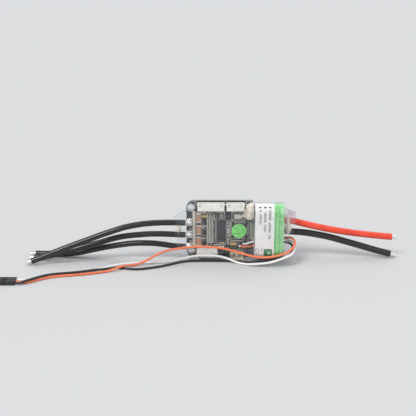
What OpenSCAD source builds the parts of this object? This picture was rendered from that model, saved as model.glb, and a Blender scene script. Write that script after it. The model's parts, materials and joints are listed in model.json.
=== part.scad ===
// Brushless motor speed controller in a clear sleeve, with its leads.
// It stands on the long edge of its board. +Z is up, +X runs along the
// board towards the battery leads, and the component side faces -Y.
// The origin is at the bottom centre of the sleeved body.

/* [Board] */
// Length of the circuit board
board_l = 60; // [58:0.5:60]
// Height of the circuit board as it stands
board_h = 40; // [40:0.5:40.3]
// Thickness of the circuit board
board_t = 1.6; // [1.2:0.2:1.6]
// Radius of the four mounting holes
hole_r = 1.6; // [1.2:0.1:1.8]

/* [Bulk capacitors] */
// Diameter of each capacitor over its plastic sleeve
cap_d = 12.5; // [12:0.1:12.5]
// Length of each capacitor
cap_l = 19; // [18:0.5:19]
// Distance between neighbouring capacitor axes
cap_pitch = 12.6; // [12.6:0.05:12.65]
// Length of the paper label around the capacitors
label_l = 19; // [18:0.1:19]

/* [Power transistors] */
// Width of each transistor body
fet_w = 10.2; // [9:0.2:10.2]
// Thickness of each transistor body
fet_t = 4.4; // [3.5:0.1:4.5]

/* [Clear sleeve] */
// Wall of the shrunk sleeve
film_t = 0.35; // [0.25:0.05:0.35]

/* [Leads] */
// Diameter of the motor leads
phase_d = 4; // [3.6:0.1:4.2]
// Diameter of the battery leads
battery_d = 4.5; // [4:0.1:4.6]
// Diameter of the thin control wires
servo_d = 1.5; // [1.2:0.1:1.5]
// Diameter of the tinned end of a motor lead
phase_tip_d = 2.6; // [2.2:0.1:2.8]
// Diameter of the tinned end of a battery lead
battery_tip_d = 2.8; // [2.4:0.1:3]

/* [Hidden] */
$fn = 32;
bx0 = -32.8;                 // left edge of the board
bx1 = bx0 + board_l;         // right edge of the board
bz0 = 0.8;                   // lower edge of the board
bz1 = bz0 + board_h;         // upper edge of the board
pf = 4.3;                    // front face of the board
pb = pf + board_t;           // back face of the board
step_z = 38;                 // the board is this high behind the capacitors
copper_t = 0.06;             // height of tracks and pads over the board
cap_y = -3.95;               // axis of the capacitors
cap_x = 12.9;                // left end of the capacitors
cap_z = 22.1;                // height of the middle capacitor
PHASE_Z = [25.9, 17.4, 9.0]; // heights of the three motor leads
SHUNT_Z = [28.7, 20.4, 12.3];

// ---- placing -------------------------------------------------------------
// A part on the front face: its own x runs along +X, its y up, its z out to -Y
module on_front(x, z, turn = 0, lift = copper_t) {
    translate([x, pf - lift, z]) rotate([90, 0, 0]) rotate([0, 0, turn]) children();
}
// A part on the back face: its own z runs out to +Y
module on_back(x, z, turn = 0, lift = copper_t) {
    translate([x, pb + lift, z]) rotate([90, 0, 180]) rotate([0, 0, turn]) children();
}
module block(x, y, z, up = 0) { translate([-x / 2, -y / 2, up]) cube([x, y, z]); }
module along_x(x, y, z, r, l) { translate([x, y, z]) rotate([0, 90, 0]) cylinder(r = r, h = l); }

// ---- board ---------------------------------------------------------------
module plate2d(w, h, rl, rr) {
    union() {
        translate([rl, 0]) square([w - rl - rr, h]);
        translate([0, rl]) square([rl + 1, h - 2 * rl]);
        translate([w - rr - 1, rr]) square([rr + 1, h - 2 * rr]);
        translate([rl, rl]) circle(r = rl);
        translate([rl, h - rl]) circle(r = rl);
        translate([w - rr, rr]) circle(r = rr);
        translate([w - rr, h - rr]) circle(r = rr);
    }
}
HOLES = [[-29.8, 5.2], [-29.8, 36.0], [24.2, 4.2], [24.2, 34.8]];
module pcb() {
    color([0.05, 0.05, 0.06]) difference() {
        translate([bx0, pb, bz0]) rotate([90, 0, 0]) linear_extrude(height = board_t) plate2d(board_l, board_h, 5, 1.5);
        for (h = HOLES) translate([h[0], pb + 1, h[1]]) rotate([90, 0, 0]) cylinder(r = hole_r, h = board_t + 2);
        translate([11.8, pf - 1, step_z]) cube([20, board_t + 2, 10]);
    }
}
// Raised tracks and exposed bus strips on the front face: [x, z, width, height]
TRACKS = [[-27.7, 20.9, 1.9, 25.4], [-18.6, 21.5, 0.6, 21], [-17.4, 21.5, 0.6, 21], [-16.2, 20.5, 0.6, 23],
    [-15.0, 20.5, 0.5, 19], [-4.5, 18.9, 0.9, 19], [-3.6, 20, 0.4, 10], [10.4, 19.8, 0.5, 12],
    [11.3, 19.8, 0.5, 13], [12.2, 20.2, 0.5, 14], [-21.5, 32.6, 9, 0.5], [-21.5, 31.8, 7, 0.4],
    [-9.3, 32.7, 6.4, 0.5], [-9.3, 11.0, 7, 0.5], [-9.3, 9.9, 9, 0.5], [-20.8, 8.9, 7, 0.5], [2.4, 32.6, 8, 0.5],
    [2.4, 27.4, 9, 0.4], [-26.5, 7.9, 4, 0.5]];
module board_traces() {
    color([0.80, 0.77, 0.68]) for (t = TRACKS) on_front(t[0], t[1], 0, 0) block(t[2], t[3], copper_t);
}
module ring_pad(r1, r2, t) {
    difference() { cylinder(r = r2, h = t); translate([0, 0, -1]) cylinder(r = r1, h = t + 2); }
}
module solder_pads() {
    color([0.78, 0.78, 0.76]) {
        for (h = HOLES) {
            on_front(h[0], h[1], 0, 0) ring_pad(hole_r, 2.6, copper_t);
            on_back(h[0], h[1], 0, 0) ring_pad(hole_r, 2.6, copper_t);
        }
        for (z = PHASE_Z) on_front(-30.6, z - 0.2, 0, 0) block(3.6, 5.4, copper_t);
        for (z = [25.9, 18.0]) on_back(23.4, z, 0, 0) block(7, 6, copper_t);
        for (k = [-1:1]) on_front(25.2, cap_z + k * cap_pitch, 0, 0) block(3.2, 5.4, copper_t);
    }
}
module phase_lead_cores() {
    color([0.82, 0.82, 0.80]) for (z = PHASE_Z) along_x(-33.4, 2.3, z, phase_tip_d / 2, 4.3);
}
// Solder that wets the pad and the tinned conductor
module phase_solder_joints() {
    color([0.86, 0.86, 0.84]) for (z = PHASE_Z) difference() {
        hull() {
            translate([-31.9, 3.2, z + 0.3]) scale([0.9, 1, 1.7]) sphere(r = 1.03, $fn = 14);
            translate([-29.5, 3.0, z - 0.7]) scale([0.8, 1, 1.6]) sphere(r = 1.23, $fn = 14);
            translate([-30.8, 2.5, z - 0.1]) sphere(r = 1.62, $fn = 14);
        }
        along_x(-36, 2.3, z, phase_tip_d / 2 + 0.01, 6.92);
        translate([-40, pf - 0.07, 0]) cube([20, 5, 42]);
    }
}

// ---- current shunts ------------------------------------------------------
module shunt_resistors() {
    color([0.66, 0.42, 0.31]) for (z = SHUNT_Z) on_front(-24.6, z) {
        block(3.3, 5.0, 0.55, 0.12);
        block(2.9, 4.6, 0.07, 0.67);
    }
}
module shunt_terminals() {
    color([0.80, 0.79, 0.77]) for (z = SHUNT_Z, s = [-1, 1]) on_front(-24.6, z + s * 2.98) block(3.3, 0.92, 0.66);
}

// ---- packaged chips ------------------------------------------------------
module chip_body(w, h, t, dot = true) {
    difference() {
        union() {
            block(w - 0.1, h - 0.1, t / 2, 0.12);
            block(w, h, 0.12, 0.06 + t / 2);
            block(w - 0.12, h - 0.12, t / 2 - 0.12, 0.18 + t / 2);
        }
        if (dot) translate([-w / 2 + 0.9, h / 2 - 0.9, t + 0.02]) cylinder(r = 0.4, h = 1);
    }
}
// One gull wing leg, foot outwards along +x from the body's side
module gull(l, w, top, t = 0.14) {
    translate([0, w / 2, 0]) rotate([90, 0, 0]) linear_extrude(height = w)
        polygon([[0.02, top], [0.35 * l, top], [0.5 * l, t], [l, t], [l, 0.01], [0.42 * l, 0.01], [0.27 * l, top - t], [0.02, top - t]]);
}
module gull_row(n, pitch, l, w, top) {
    for (i = [0:n - 1]) translate([0, (i - (n - 1) / 2) * pitch, 0]) gull(l, w, top);
}
module gate_driver() { color([0.17, 0.17, 0.19]) on_front(-9.2, 19.8) chip_body(6.1, 14, 1.1); }
module gate_driver_pins() {
    color([0.80, 0.80, 0.78]) on_front(-9.2, 19.8) for (s = [0, 180]) rotate([0, 0, s])
        translate([3.05, 0, 0]) gull_row(28, 0.5, 1.0, 0.22, 0.62);
}
module microcontroller() { color([0.13, 0.13, 0.14]) on_front(3.1, 20.1) chip_body(10, 10, 1.4, false); }
module microcontroller_pins() {
    color([0.80, 0.80, 0.78]) on_front(3.1, 20.1) for (s = [0:90:270]) rotate([0, 0, s])
        translate([5, 0, 0]) gull_row(16, 0.5, 1.0, 0.22, 0.8);
}
module chip_sticker() { color([0.45, 0.92, 0.42]) on_front(2.7, 20.0) translate([0, 0, 1.47]) cylinder(r = 5, h = 0.13, $fn = 48); }
// [x, z, width, height, thickness, legs on each side, pitch]
CHIPS = [[-20.7, 26.6, 2.9, 3.0, 0.9, 4, 0.65], [-20.7, 18.6, 2.9, 3.0, 0.9, 4, 0.65], [-20.7, 10.6, 2.9, 3.0, 0.9, 4, 0.65],
    [-4.6, 30.2, 3.9, 4.9, 1.4, 4, 1.27], [-11.4, 29.9, 1.4, 2.9, 1.0, 3, 0.95], [-6.9, 5.1, 1.4, 2.9, 1.0, 3, 0.95],
    [8.2, 29.0, 1.4, 2.9, 1.0, 3, 0.95]];
module small_chips() { color([0.14, 0.14, 0.15]) for (c = CHIPS) on_front(c[0], c[1]) chip_body(c[2], c[3], c[4], false); }
module small_chip_legs() {
    color([0.80, 0.80, 0.78]) for (c = CHIPS) on_front(c[0], c[1]) for (s = [0, 180]) rotate([0, 0, s])
        translate([c[2] / 2, 0, 0]) gull_row(c[5], c[6], c[4] > 1.2 ? 1.05 : 0.7, c[4] > 1.2 ? 0.42 : 0.3, 0.12 + c[4] / 2);
}

// ---- connectors ----------------------------------------------------------
// Side entry header: local x along the row, y towards the mouth, z off the board
function header_w(n) = 2 * (n - 1) + 3.9;
header_d = 4.8;
header_t = 5.5;
module header_body(n) {
    w = header_w(n);
    difference() {
        translate([-w / 2, 0, 0.02]) cube([w, header_d, header_t - 0.02]);
        translate([-w / 2 + 0.75, 1.1, 1.0]) cube([w - 1.5, header_d, header_t - 1.85]);
        for (s = [-1, 1]) {
            translate([s * (w / 2 - 1.75) - 0.55, 2.6, header_t - 1]) cube([1.1, header_d, 2]);
            translate([s * w / 2 - 0.35, 2.9, 1.6]) cube([0.7, header_d, 1.5]);
        }
        translate([-w / 2 + 3.2, 0.45, header_t - 0.12]) cube([w - 6.4, 0.35, 1]);
    }
}
module header_pins(n) {
    for (i = [0:n - 1]) translate([(i - (n - 1) / 2) * 2, 0, 0]) {
        translate([-0.25, 1.1, 2.55]) cube([0.5, 2.9, 0.5]);
        translate([-0.25, -1.6, 0.01]) cube([0.5, 1.58, 0.3]);
    }
    for (s = [-1, 1]) translate([s * (header_w(n) / 2 + 0.32) - 0.3, 2.4, 0.01]) cube([0.6, 1.8, 0.5]);
}
module comm_header() { color([0.93, 0.91, 0.86]) on_front(-16.3, 34.9) header_body(8); }
module comm_header_pins() { color([0.80, 0.79, 0.74]) on_front(-16.3, 34.9) header_pins(8); }
module can_header() { color([0.93, 0.91, 0.86]) on_front(0.1, 34.9) header_body(5); }
module can_header_pins() { color([0.80, 0.79, 0.74]) on_front(0.1, 34.9) header_pins(5); }
module sensor_header() { color([0.93, 0.90, 0.84]) on_front(-18.9, 7.2, 180) header_body(6); }
module sensor_header_pins() { color([0.80, 0.79, 0.74]) on_front(-18.9, 7.2, 180) header_pins(6); }

// USB socket at the lower edge, mouth down: local y towards the mouth
module usb_shell() {
    color([0.80, 0.76, 0.62]) on_front(1.5, 6.0, 180) difference() {
        union() {
            translate([-4.1, 0, 0.05]) cube([8.2, 5.6, 3.5]);
            translate([-4.7, 5.0, 0.02]) cube([9.4, 0.6, 4.1]);
            for (s = [-1, 1]) translate([s * 4.4 - 0.35, 1.2, 0.02]) cube([0.7, 2.4, 0.6]);
        }
        translate([-3.75, 0.6, 0.4]) cube([7.5, 8, 2.8]);
        for (s = [-1, 1]) translate([s * 2.1 - 0.45, 1.4, 3]) cube([0.9, 2.0, 2]);
    }
}
module usb_tongue() {
    color([0.10, 0.10, 0.10]) on_front(1.5, 6.0, 180) {
        translate([-3.7, 0.62, 0.45]) cube([7.4, 0.7, 2.7]);
        translate([-2.4, 1.32, 1.9]) cube([4.8, 3.4, 0.7]);
    }
}

// ---- small parts ---------------------------------------------------------
module crystal() {
    color([0.74, 0.72, 0.66]) on_front(1.8, 29.9) union() {
        block(5.0, 3.2, 0.45, 0.02);
        block(4.5, 2.7, 0.75, 0.47);
    }
}
module power_inductor() {
    color([0.20, 0.20, 0.21]) on_front(10.0, 5.2) difference() {
        union() { block(5.2, 4.6, 0.5, 0.02); block(5.0, 4.4, 2.3, 0.52); }
        translate([0, 0, 2.6]) ring_pad(1.3, 1.5, 1);
    }
}
module tantalum_capacitors() {
    color([0.72, 0.55, 0.25]) { on_front(-1.2, 10.6) block(3.3, 1.7, 1.5, 0.12); on_front(-20.8, 30.2) block(3.1, 1.6, 1.4, 0.12); }
}
// Chip parts of one body size each: [x, z, upright]
CER = [[-21.9, 23.2, 0], [-21.9, 22.0, 0], [-19.8, 23.2, 0], [-19.8, 14.4, 0], [-21.9, 14.4, 0], [-13.9, 30.2, 1], [-13.9, 28.2, 1],
    [-9.0, 31.1, 0], [-9.0, 29.9, 0], [-9.0, 28.6, 0], [-7.9, 10.2, 0], [-11.0, 10.2, 0], [-2.9, 26.7, 1], [-2.9, 24.9, 1],
    [6.2, 30.3, 1], [5.6, 27.7, 0], [-2.9, 13.6, 1], [-0.9, 12.8, 0], [1.3, 12.8, 0], [3.5, 12.8, 0], [-4.9, 12.6, 1],
    [-11.4, 8.4, 1], [-26.9, 6.2, 1], [-30.0, 12.7, 0], [-30.0, 21.2, 0]];
RES = [[-21.9, 24.4, 0], [-18.9, 32.4, 0], [-20.6, 16.4, 0], [-21.9, 13.1, 0], [-15.9, 32.4, 0],
    [-12.8, 32.4, 0], [-7.7, 33.2, 0], [-11.9, 11.4, 0], [-6.6, 11.4, 0], [-4.65, 26.2, 1], [-4.65, 24.2, 1], [-4.65, 22.1, 1],
    [-4.65, 17.3, 1], [-4.65, 15.2, 1], [-0.5, 27.0, 0], [1.5, 27.0, 0], [3.5, 27.0, 0], [4.9, 32.4, 0], [2.4, 32.4, 0], [-0.2, 32.4, 0],
    [-5.2, 9.9, 0], [-1.6, 8.3, 0], [1.2, 9.2, 1], [2.3, 10.9, 0], [-12.6, 8.5, 1], [-13.9, 10.7, 1], [-15.4, 9.4, 0],
    [-17.6, 9.4, 0], [-15.4, 31.0, 0], [-17.8, 31.0, 0], [-5.4, 8.1, 0], [-9.4, 3.1, 1], [-10.7, 3.1, 1]];
module chip_part(w, h, t) { block(w, h, t, 0.04); }
module ceramic_capacitors() { color([0.62, 0.52, 0.42]) for (p = CER) on_front(p[0], p[1], 90 * p[2]) chip_part(1.1, 0.8, 0.7); }
module resistors() { color([0.10, 0.10, 0.12]) for (p = RES) on_front(p[0], p[1], 90 * p[2]) chip_part(1.1, 0.8, 0.42); }
module chip_end_caps() {
    color([0.84, 0.84, 0.82]) {
        for (p = CER, s = [-1, 1]) on_front(p[0], p[1], 90 * p[2]) translate([s * 0.75, 0, 0]) block(0.38, 0.84, 0.76);
        for (p = RES, s = [-1, 1]) on_front(p[0], p[1], 90 * p[2]) translate([s * 0.75, 0, 0]) block(0.38, 0.84, 0.48);
        for (s = [-1, 1]) on_front(-1.2 + s * 1.8, 10.6) block(0.3, 1.4, 1.0);
        for (s = [-1, 1]) on_front(-20.8 + s * 1.7, 30.2) block(0.3, 1.3, 1.0);
        on_front(10.0, 2.4) block(2.2, 0.8, 0.9);
        on_front(10.0, 7.95) block(2.2, 0.7, 0.5);
    }
}
module status_leds() {
    color([0.92, 0.92, 0.86]) for (x = [-9.9, -8.0]) on_front(x, 8.1, 90) union() {
        block(2.0, 1.2, 0.3, 0.02);
        block(1.3, 1.2, 0.5, 0.32);
    }
}

// ---- power transistors on the back face ----------------------------------
FETS = [for (x = [-20.5, -2.5], z = [8.0, 20.8, 33.6]) [x, z]];
module power_transistors() {
    color([0.10, 0.10, 0.11]) for (f = FETS) on_back(f[0], f[1]) union() {
        translate([-4.3, -fet_w / 2, 0.15]) cube([8.6, fet_w, fet_t - 0.65]);
        translate([-4.1, -fet_w / 2 + 0.2, fet_t - 0.5]) cube([8.2, fet_w - 0.4, 0.5]);
    }
}
module transistor_tabs() {
    color([0.78, 0.78, 0.77]) for (f = FETS) on_back(f[0], f[1]) difference() {
        translate([4.32, -fet_w / 2, 0.02]) cube([1.5, fet_w, 1.25]);
        for (s = [-1, 1]) translate([6.1, s * 4.2, -1]) cylinder(r = 0.7, h = 4);
    }
}
module transistor_legs() {
    color([0.78, 0.78, 0.77]) for (f = FETS) on_back(f[0], f[1]) for (i = [-3:3]) if (i != 0)
        translate([-4.32, i * 1.27, 0]) rotate([0, 0, 180]) gull(3.2, 0.62, 1.9, 0.5);
}

// ---- capacitor bank ------------------------------------------------------
module each_cap() { for (k = [-1:1]) translate([cap_x, cap_y, cap_z + k * cap_pitch]) rotate([0, 90, 0]) children(); }
module capacitor_cans() {
    color([0.75, 0.76, 0.78]) each_cap() difference() {
        rotate_extrude($fn = 48) polygon([[0, 0.35], [4.9, 0.35], [5.2, 0], [5.9, 0.1], [cap_d / 2 - 0.15, 0.5],
            [cap_d / 2 - 0.15, cap_l - 2.6], [cap_d / 2 - 0.6, cap_l - 2.1], [cap_d / 2 - 0.15, cap_l - 1.6],
            [cap_d / 2 - 0.15, cap_l], [5.1, cap_l], [5.1, cap_l - 0.9], [0, cap_l - 0.9]]);
        for (a = [45, 135]) rotate([0, 0, a]) translate([-3.6, -0.12, -0.5]) cube([7.2, 0.24, 1.0]);
    }
}
module capacitor_sleeves() {
    color([0.07, 0.08, 0.11]) each_cap() difference() {
        translate([0, 0, 0.45]) cylinder(r = cap_d / 2, h = cap_l - 0.5, $fn = 48);
        translate([0, 0, -1]) cylinder(r = cap_d / 2 - 0.14, h = cap_l + 2, $fn = 48);
    }
}
module capacitor_bungs() {
    color([0.08, 0.08, 0.08]) each_cap() difference() {
        translate([0, 0, cap_l - 0.88]) cylinder(r = 5.08, h = 0.7, $fn = 48);
        for (s = [-1, 1]) rotate([0, 0, 125]) translate([s * 2.5, 0, cap_l - 2]) cylinder(r = 0.42, h = 4);
    }
}
// Two leads for each capacitor: out of the bung, back over the board's edge, along its face
module capacitor_leads() {
    color([0.80, 0.80, 0.79]) for (k = [-1:1], s = [-1, 1]) {
        y = cap_y + s * 2.05;
        z = cap_z + k * cap_pitch + s * 1.43;
        x1 = cap_x + cap_l + 0.9;
        union() {
            along_x(cap_x + cap_l - 0.86, y, z, 0.4, 1.76);
            translate([x1, y, z]) sphere(r = 0.4);
            translate([x1, y, z]) rotate([-90, 0, 0]) cylinder(r = 0.4, h = 3.75 - y);
            translate([x1, 3.75, z]) sphere(r = 0.4);
            along_x(24.6, 3.75, z, 0.4, x1 - 24.6);
        }
    }
}
module stadium2d(d, ext) {
    union() {
        translate([-d / 2, -cap_pitch]) square([d, 2 * cap_pitch]);
        for (s = [-1, 1]) translate([0, s * cap_pitch]) circle(r = d / 2, $fn = 64);
    }
}
module label() {
    color([0.92, 0.92, 0.90]) translate([12.8, cap_y, cap_z]) rotate([90, 0, 90]) linear_extrude(height = label_l) difference() {
        stadium2d(cap_d + 0.5);
        stadium2d(cap_d + 0.04);
    }
}
module battery_lead_cores() {
    color([0.82, 0.82, 0.80]) for (z = [25.9, 18.0]) along_x(21, 8.2, z, battery_tip_d / 2, 7);
}
module power_solder_joints() {
    color([0.86, 0.86, 0.84]) {
        for (z = [25.9, 18.0]) difference() {
            hull() {
                translate([21, 6.9, z]) scale([1, 1, 1.7]) sphere(r = 0.95, $fn = 14);
                translate([25.5, 6.9, z]) scale([1, 1, 1.8]) sphere(r = 0.95, $fn = 14);
                translate([23.4, 8.0, z]) sphere(r = 1.75, $fn = 14);
            }
            along_x(20.98, 8.2, z, battery_tip_d / 2 + 0.01, 8);
            translate([10, pb - 5, 0]) cube([20, 5.08, 42]);
        }
        for (j = [[3.4, 8.9], [6.0, 10.2], [15.5, 8.0]]) translate([j[0], pf, j[1]]) rotate([90, 0, 0]) difference() {
            scale([1, 1, 0.8]) sphere(r = 0.95, $fn = 14);
            translate([-2, -2, -3]) cube([4, 4, 3.03]);
        }
    }
}

// ---- silicone and glue ---------------------------------------------------
module silicone_left() {
    color([0.92, 0.87, 0.80]) hull() {
        translate([10.5, 0.4, 37.4]) sphere(r = 2.3, $fn = 18);
        translate([10.2, 0.2, 33.0]) sphere(r = 2.5, $fn = 18);
        translate([8.7, 2.0, 36.2]) sphere(r = 2.0, $fn = 18);
        translate([10.6, 1.1, 28.6]) sphere(r = 1.5, $fn = 18);
    }
}
module silicone_right() {
    color([0.92, 0.87, 0.80]) difference() {
        hull() {
            translate([34.6, 0.8, 31.2]) sphere(r = 1.1, $fn = 18);
            translate([35.2, 0.6, 24.6]) sphere(r = 1.9, $fn = 18);
            translate([35.2, 0.8, 21.6]) sphere(r = 2.1, $fn = 18);
            translate([34.9, 1.2, 19.6]) sphere(r = 1.3, $fn = 18);
        }
        translate([31.3, -4, 14]) cube([2, 8, 20]);
    }
}
module glue_spot() {
    color([0.93, 0.88, 0.76]) hull() {
        translate([-38.2, 1.4, 22.1]) sphere(r = 1.6, $fn = 16);
        translate([-37.6, 2.8, 21.3]) sphere(r = 1.6, $fn = 16);
    }
}

// ---- clear sleeve --------------------------------------------------------
// Each section: [x, z low, z high, y front, y back, front corner, depth and height of the low
// back corner, depth and height of the high back corner, inner x shift, mouth tilt]
FILM = [
    [-41.0, 5.6, 30.2, -0.9, 6.4, 3.2, 3.2, 3.2, 3.2, 3.2, 0, 2.0],
    [-38.6, 4.8, 31.7, -1.1, 7.4, 3.4, 3.4, 3.4, 3.4, 3.4, 0, 1.2],
    [-36.0, 4.2, 33.2, -1.3, 8.6, 3.4, 4.2, 3.6, 4.2, 3.6, 0.05, 0.5],
    [-34.2, 3.7, 34.8, -1.5, 9.6, 3.2, 4.8, 3.4, 4.8, 3.4, 0.2, 0],
    [-33.3, 2.9, 37.2, -1.6, 10.2, 3.0, 5.0, 3.2, 5.0, 3.2, 0.25, 0],
    [-32.2, 1.4, 39.6, -1.8, 10.7, 2.6, 5.0, 3.0, 5.0, 3.0, 0.2, 0],
    [-30.4, 0.3, 40.9, -1.95, 10.95, 2.2, 5.0, 2.8, 5.0, 2.8, 0.1, 0],
    [-28.0, 0, 41.3, -2.0, 11, 2.0, 5.0, 2.6, 5.0, 2.6, 0, 0],
    [-10.0, 0, 41.3, -2.0, 11, 2.0, 5.0, 2.6, 5.0, 2.6, 0, 0],
    [7.2, 0, 41.3, -2.0, 11, 2.0, 5.0, 2.6, 5.0, 2.6, 0, 0],
    [8.3, 0, 41.3, -2.9, 11, 2.9, 5.0, 2.6, 5.0, 2.6, 0, 0],
    [9.7, 0, 41.3, -5.4, 11, 4.4, 5.0, 2.6, 5.0, 2.6, 0, 0],
    [11.2, 0, 41.4, -9.2, 11, 5.8, 5.0, 2.6, 5.2, 2.8, 0, 0],
    [12.4, 0, 41.6, -11, 11, 6.6, 5.0, 2.6, 8.4, 3.4, 0, 0],
    [14.0, 0, 41.6, -11, 11, 6.6, 5.0, 2.6, 13.6, 4.3, 0, 0],
    [32.6, 0, 41.6, -11, 11, 6.6, 5.0, 2.6, 13.6, 4.3, -0.1, 0],
    [33.6, 3.4, 38.6, -7.6, 11, 6.0, 5.0, 3.2, 9.0, 4.2, -0.3, 0],
    [34.8, 8.0, 35.6, -3.6, 11, 4.6, 4.6, 3.8, 6.4, 4.2, -0.3, 0],
    [38.2, 8.4, 33.6, -1.7, 11, 3.8, 4.0, 3.6, 4.6, 3.8, -0.1, 1.7],
    [41.0, 9.0, 32.6, -1.2, 11, 3.4, 3.6, 3.4, 4.0, 3.6, 0, 4.4]];
CORNER = 8;
// Two straight sides meet in a corner of the given depth and height, flatter than a circle at the back
function corner_pt(cy, cz, dy, dz, a, e) = [cy + dy * sign(cos(a)) * pow(abs(cos(a)), e), cz + dz * sign(sin(a)) * pow(abs(sin(a)), e)];
// One ring of a section, shrunk by t on every side: four corners joined by straight sides
function ring(s, t) = let(z0 = s[1] + t, z1 = s[2] - t, y0 = s[3] + t, y1 = s[4] - t, rf = s[5] - t,
        c = [[y0 + rf, z0 + rf, rf, rf, 180, 1], [y1 - s[6] + t, z0 + s[7] - t, s[6] - t, s[7] - t, 270, 1.5],
            [y1 - s[8] + t, z1 - s[9] + t, s[8] - t, s[9] - t, 0, 1.5], [y0 + rf, z1 - rf, rf, rf, 90, 1]])
    [for (k = [0:3], i = [0:CORNER])
        let(p = corner_pt(c[k][0], c[k][1], c[k][2], c[k][3], c[k][4] + 90 * i / CORNER, c[k][5]), y = p[0], z = p[1],
            lean = s[11] * (s[0] < 0 ? (z1 - z) / (z1 - z0) : -(z1 - z) / (z1 - z0)))
        [s[0] + (t > 0 ? s[10] : 0) + lean, y, z]];
module film_loft() {
    n = len(FILM);
    m = 4 * (CORNER + 1);
    pts = concat([for (s = FILM) each ring(s, 0)], [for (s = FILM) each ring(s, film_t)]);
    o = n * m;
    outer = [for (i = [0:n - 2], k = [0:m - 1]) let(a = i * m + k, b = i * m + (k + 1) % m) each [[a, b, b + m], [a, b + m, a + m]]];
    inner = [for (i = [0:n - 2], k = [0:m - 1]) let(a = o + i * m + k, b = o + i * m + (k + 1) % m) each [[a, b + m, b], [a, a + m, b + m]]];
    ends = [for (k = [0:m - 1]) let(b = (k + 1) % m) each [[k, o + k, o + b], [k, o + b, b],
        [(n - 1) * m + k, (n - 1) * m + b, o + (n - 1) * m + b], [(n - 1) * m + k, o + (n - 1) * m + b, o + (n - 1) * m + k]]];
    polyhedron(points = pts, faces = concat(outer, inner, ends), convexity = 6);
}
// The sleeve, cut open at the mouths of the headers and of the USB socket
module heat_shrink_sleeve() {
    color([0.75, 0.80, 0.84, 0.3]) difference() {
        film_loft();
        translate([-25.6, -1.5, 40.75]) cube([18.6, 5.7, 2]);
        translate([-6.2, -1.5, 40.75]) cube([12.6, 5.7, 2]);
        translate([-26.2, -1.5, -1]) cube([14.6, 5.7, 1.5]);
        translate([-3.6, -0.2, -1]) cube([10.2, 4.4, 1.5]);
    }
}

// ---- cords ---------------------------------------------------------------
function unit(v) = v / norm(v);
function spline(p, i, u) = let(n = len(p) - 1, a = p[max(i - 1, 0)], b = p[i], c = p[min(i + 1, n)], d = p[min(i + 2, n)])
    0.5 * (2 * b + (c - a) * u + (2 * a - 5 * b + 4 * c - d) * u * u + (3 * b - a - 3 * c + d) * u * u * u);
function route(p, sub) = concat([for (i = [0:len(p) - 2], j = [0:sub - 1]) spline(p, i, j / sub)], [p[len(p) - 1]]);
function side(t) = unit(cross(t, [0, 0, 1]));
// A round tube along points p, with n sides, as one closed polyhedron
module tube(p, d, n) {
    m = len(p);
    dir = [for (i = [0:m - 1]) unit(p[min(i + 1, m - 1)] - p[max(i - 1, 0)])];
    pts = [for (i = [0:m - 1], k = [0:n - 1]) let(s = side(dir[i]), u = cross(s, dir[i]), a = 360 * k / n) p[i] + d / 2 * (cos(a) * s + sin(a) * u)];
    walls = [for (i = [0:m - 2], k = [0:n - 1]) let(a = i * n + k, b = i * n + (k + 1) % n) each [[a, b + n, b], [a, a + n, b + n]]];
    polyhedron(points = pts, faces = concat(walls, [[for (k = [0:n - 1]) k]], [[for (k = [n - 1:-1:0]) (m - 1) * n + k]]), convexity = 6);
}
module rod(a, b, d) {
    v = b - a;
    translate(a) rotate([0, acos(v[2] / norm(v)), atan2(v[1], v[0])]) union() {
        cylinder(d = d, h = norm(v) - 0.3);
        translate([0, 0, norm(v) - 0.3]) cylinder(d = d - 0.5, h = 0.3);
    }
}
PHASE_A = [[-33.4, 2.3, 25.9], [-41, 2.2, 26.1], [-49, 1.1, 26.4], [-57, 0, 26.3], [-64, -1, 25.8], [-74, -2.2, 24.1], [-84, -3.6, 21.2],
    [-91, -4.5, 19], [-97, -5.3, 16.9], [-107, -6.7, 13.5], [-117, -8, 9.9], [-124, -8.4, 7.1], [-130, -8.8, 4.7], [-135.6, -9, 2.7]];
PHASE_B = [[-33.4, 2.3, 17.4], [-41, 2.2, 17.8], [-49, 2, 18.2], [-57, 1.9, 18.2], [-64, 1.7, 17.8], [-74, 1.5, 16.8], [-82, 1.3, 15.2],
    [-90, 1.1, 12.8], [-98, 0.9, 10.5], [-108, 0.7, 7.9], [-118, 0.5, 5.2], [-127, 0.3, 2.9], [-136, 0.2, 2.1]];
PHASE_C = [[-33.4, 2.3, 9], [-41, 2.2, 9.5], [-48, 2.2, 10.6], [-55, 2.2, 11.4], [-62, 2.2, 11.6], [-69, 2.6, 11.3], [-76, 3.1, 10.3],
    [-83, 3.8, 9], [-90, 4.5, 7.5], [-97, 5.2, 5.8], [-104, 6, 4], [-111, 6.6, 2.7], [-119, 7.1, 2.1], [-128, 7.6, 2.1], [-136.6, 8, 2.1]];
BATT_P = [[28, 8.2, 25.9], [34, 8.1, 26], [39, 8, 25.6], [45, 8, 24.1], [52, 8, 22.4], [59, 8, 20.8], [66, 8, 19.4], [73, 8, 18.2],
    [81, 8, 17], [89, 8, 16], [98, 8, 15], [107.3, 8, 14.1]];
BATT_N = [[28, 8.2, 18], [34, 8.2, 18.1], [40, 8.1, 17.9], [48, 8, 17.2], [57, 8, 15.7], [66, 7.6, 13.8], [75, 7, 11.4], [84, 6.5, 8.9],
    [92, 6, 6.6], [99, 5.8, 4.6], [106.4, 5.5, 2.8]];
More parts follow.
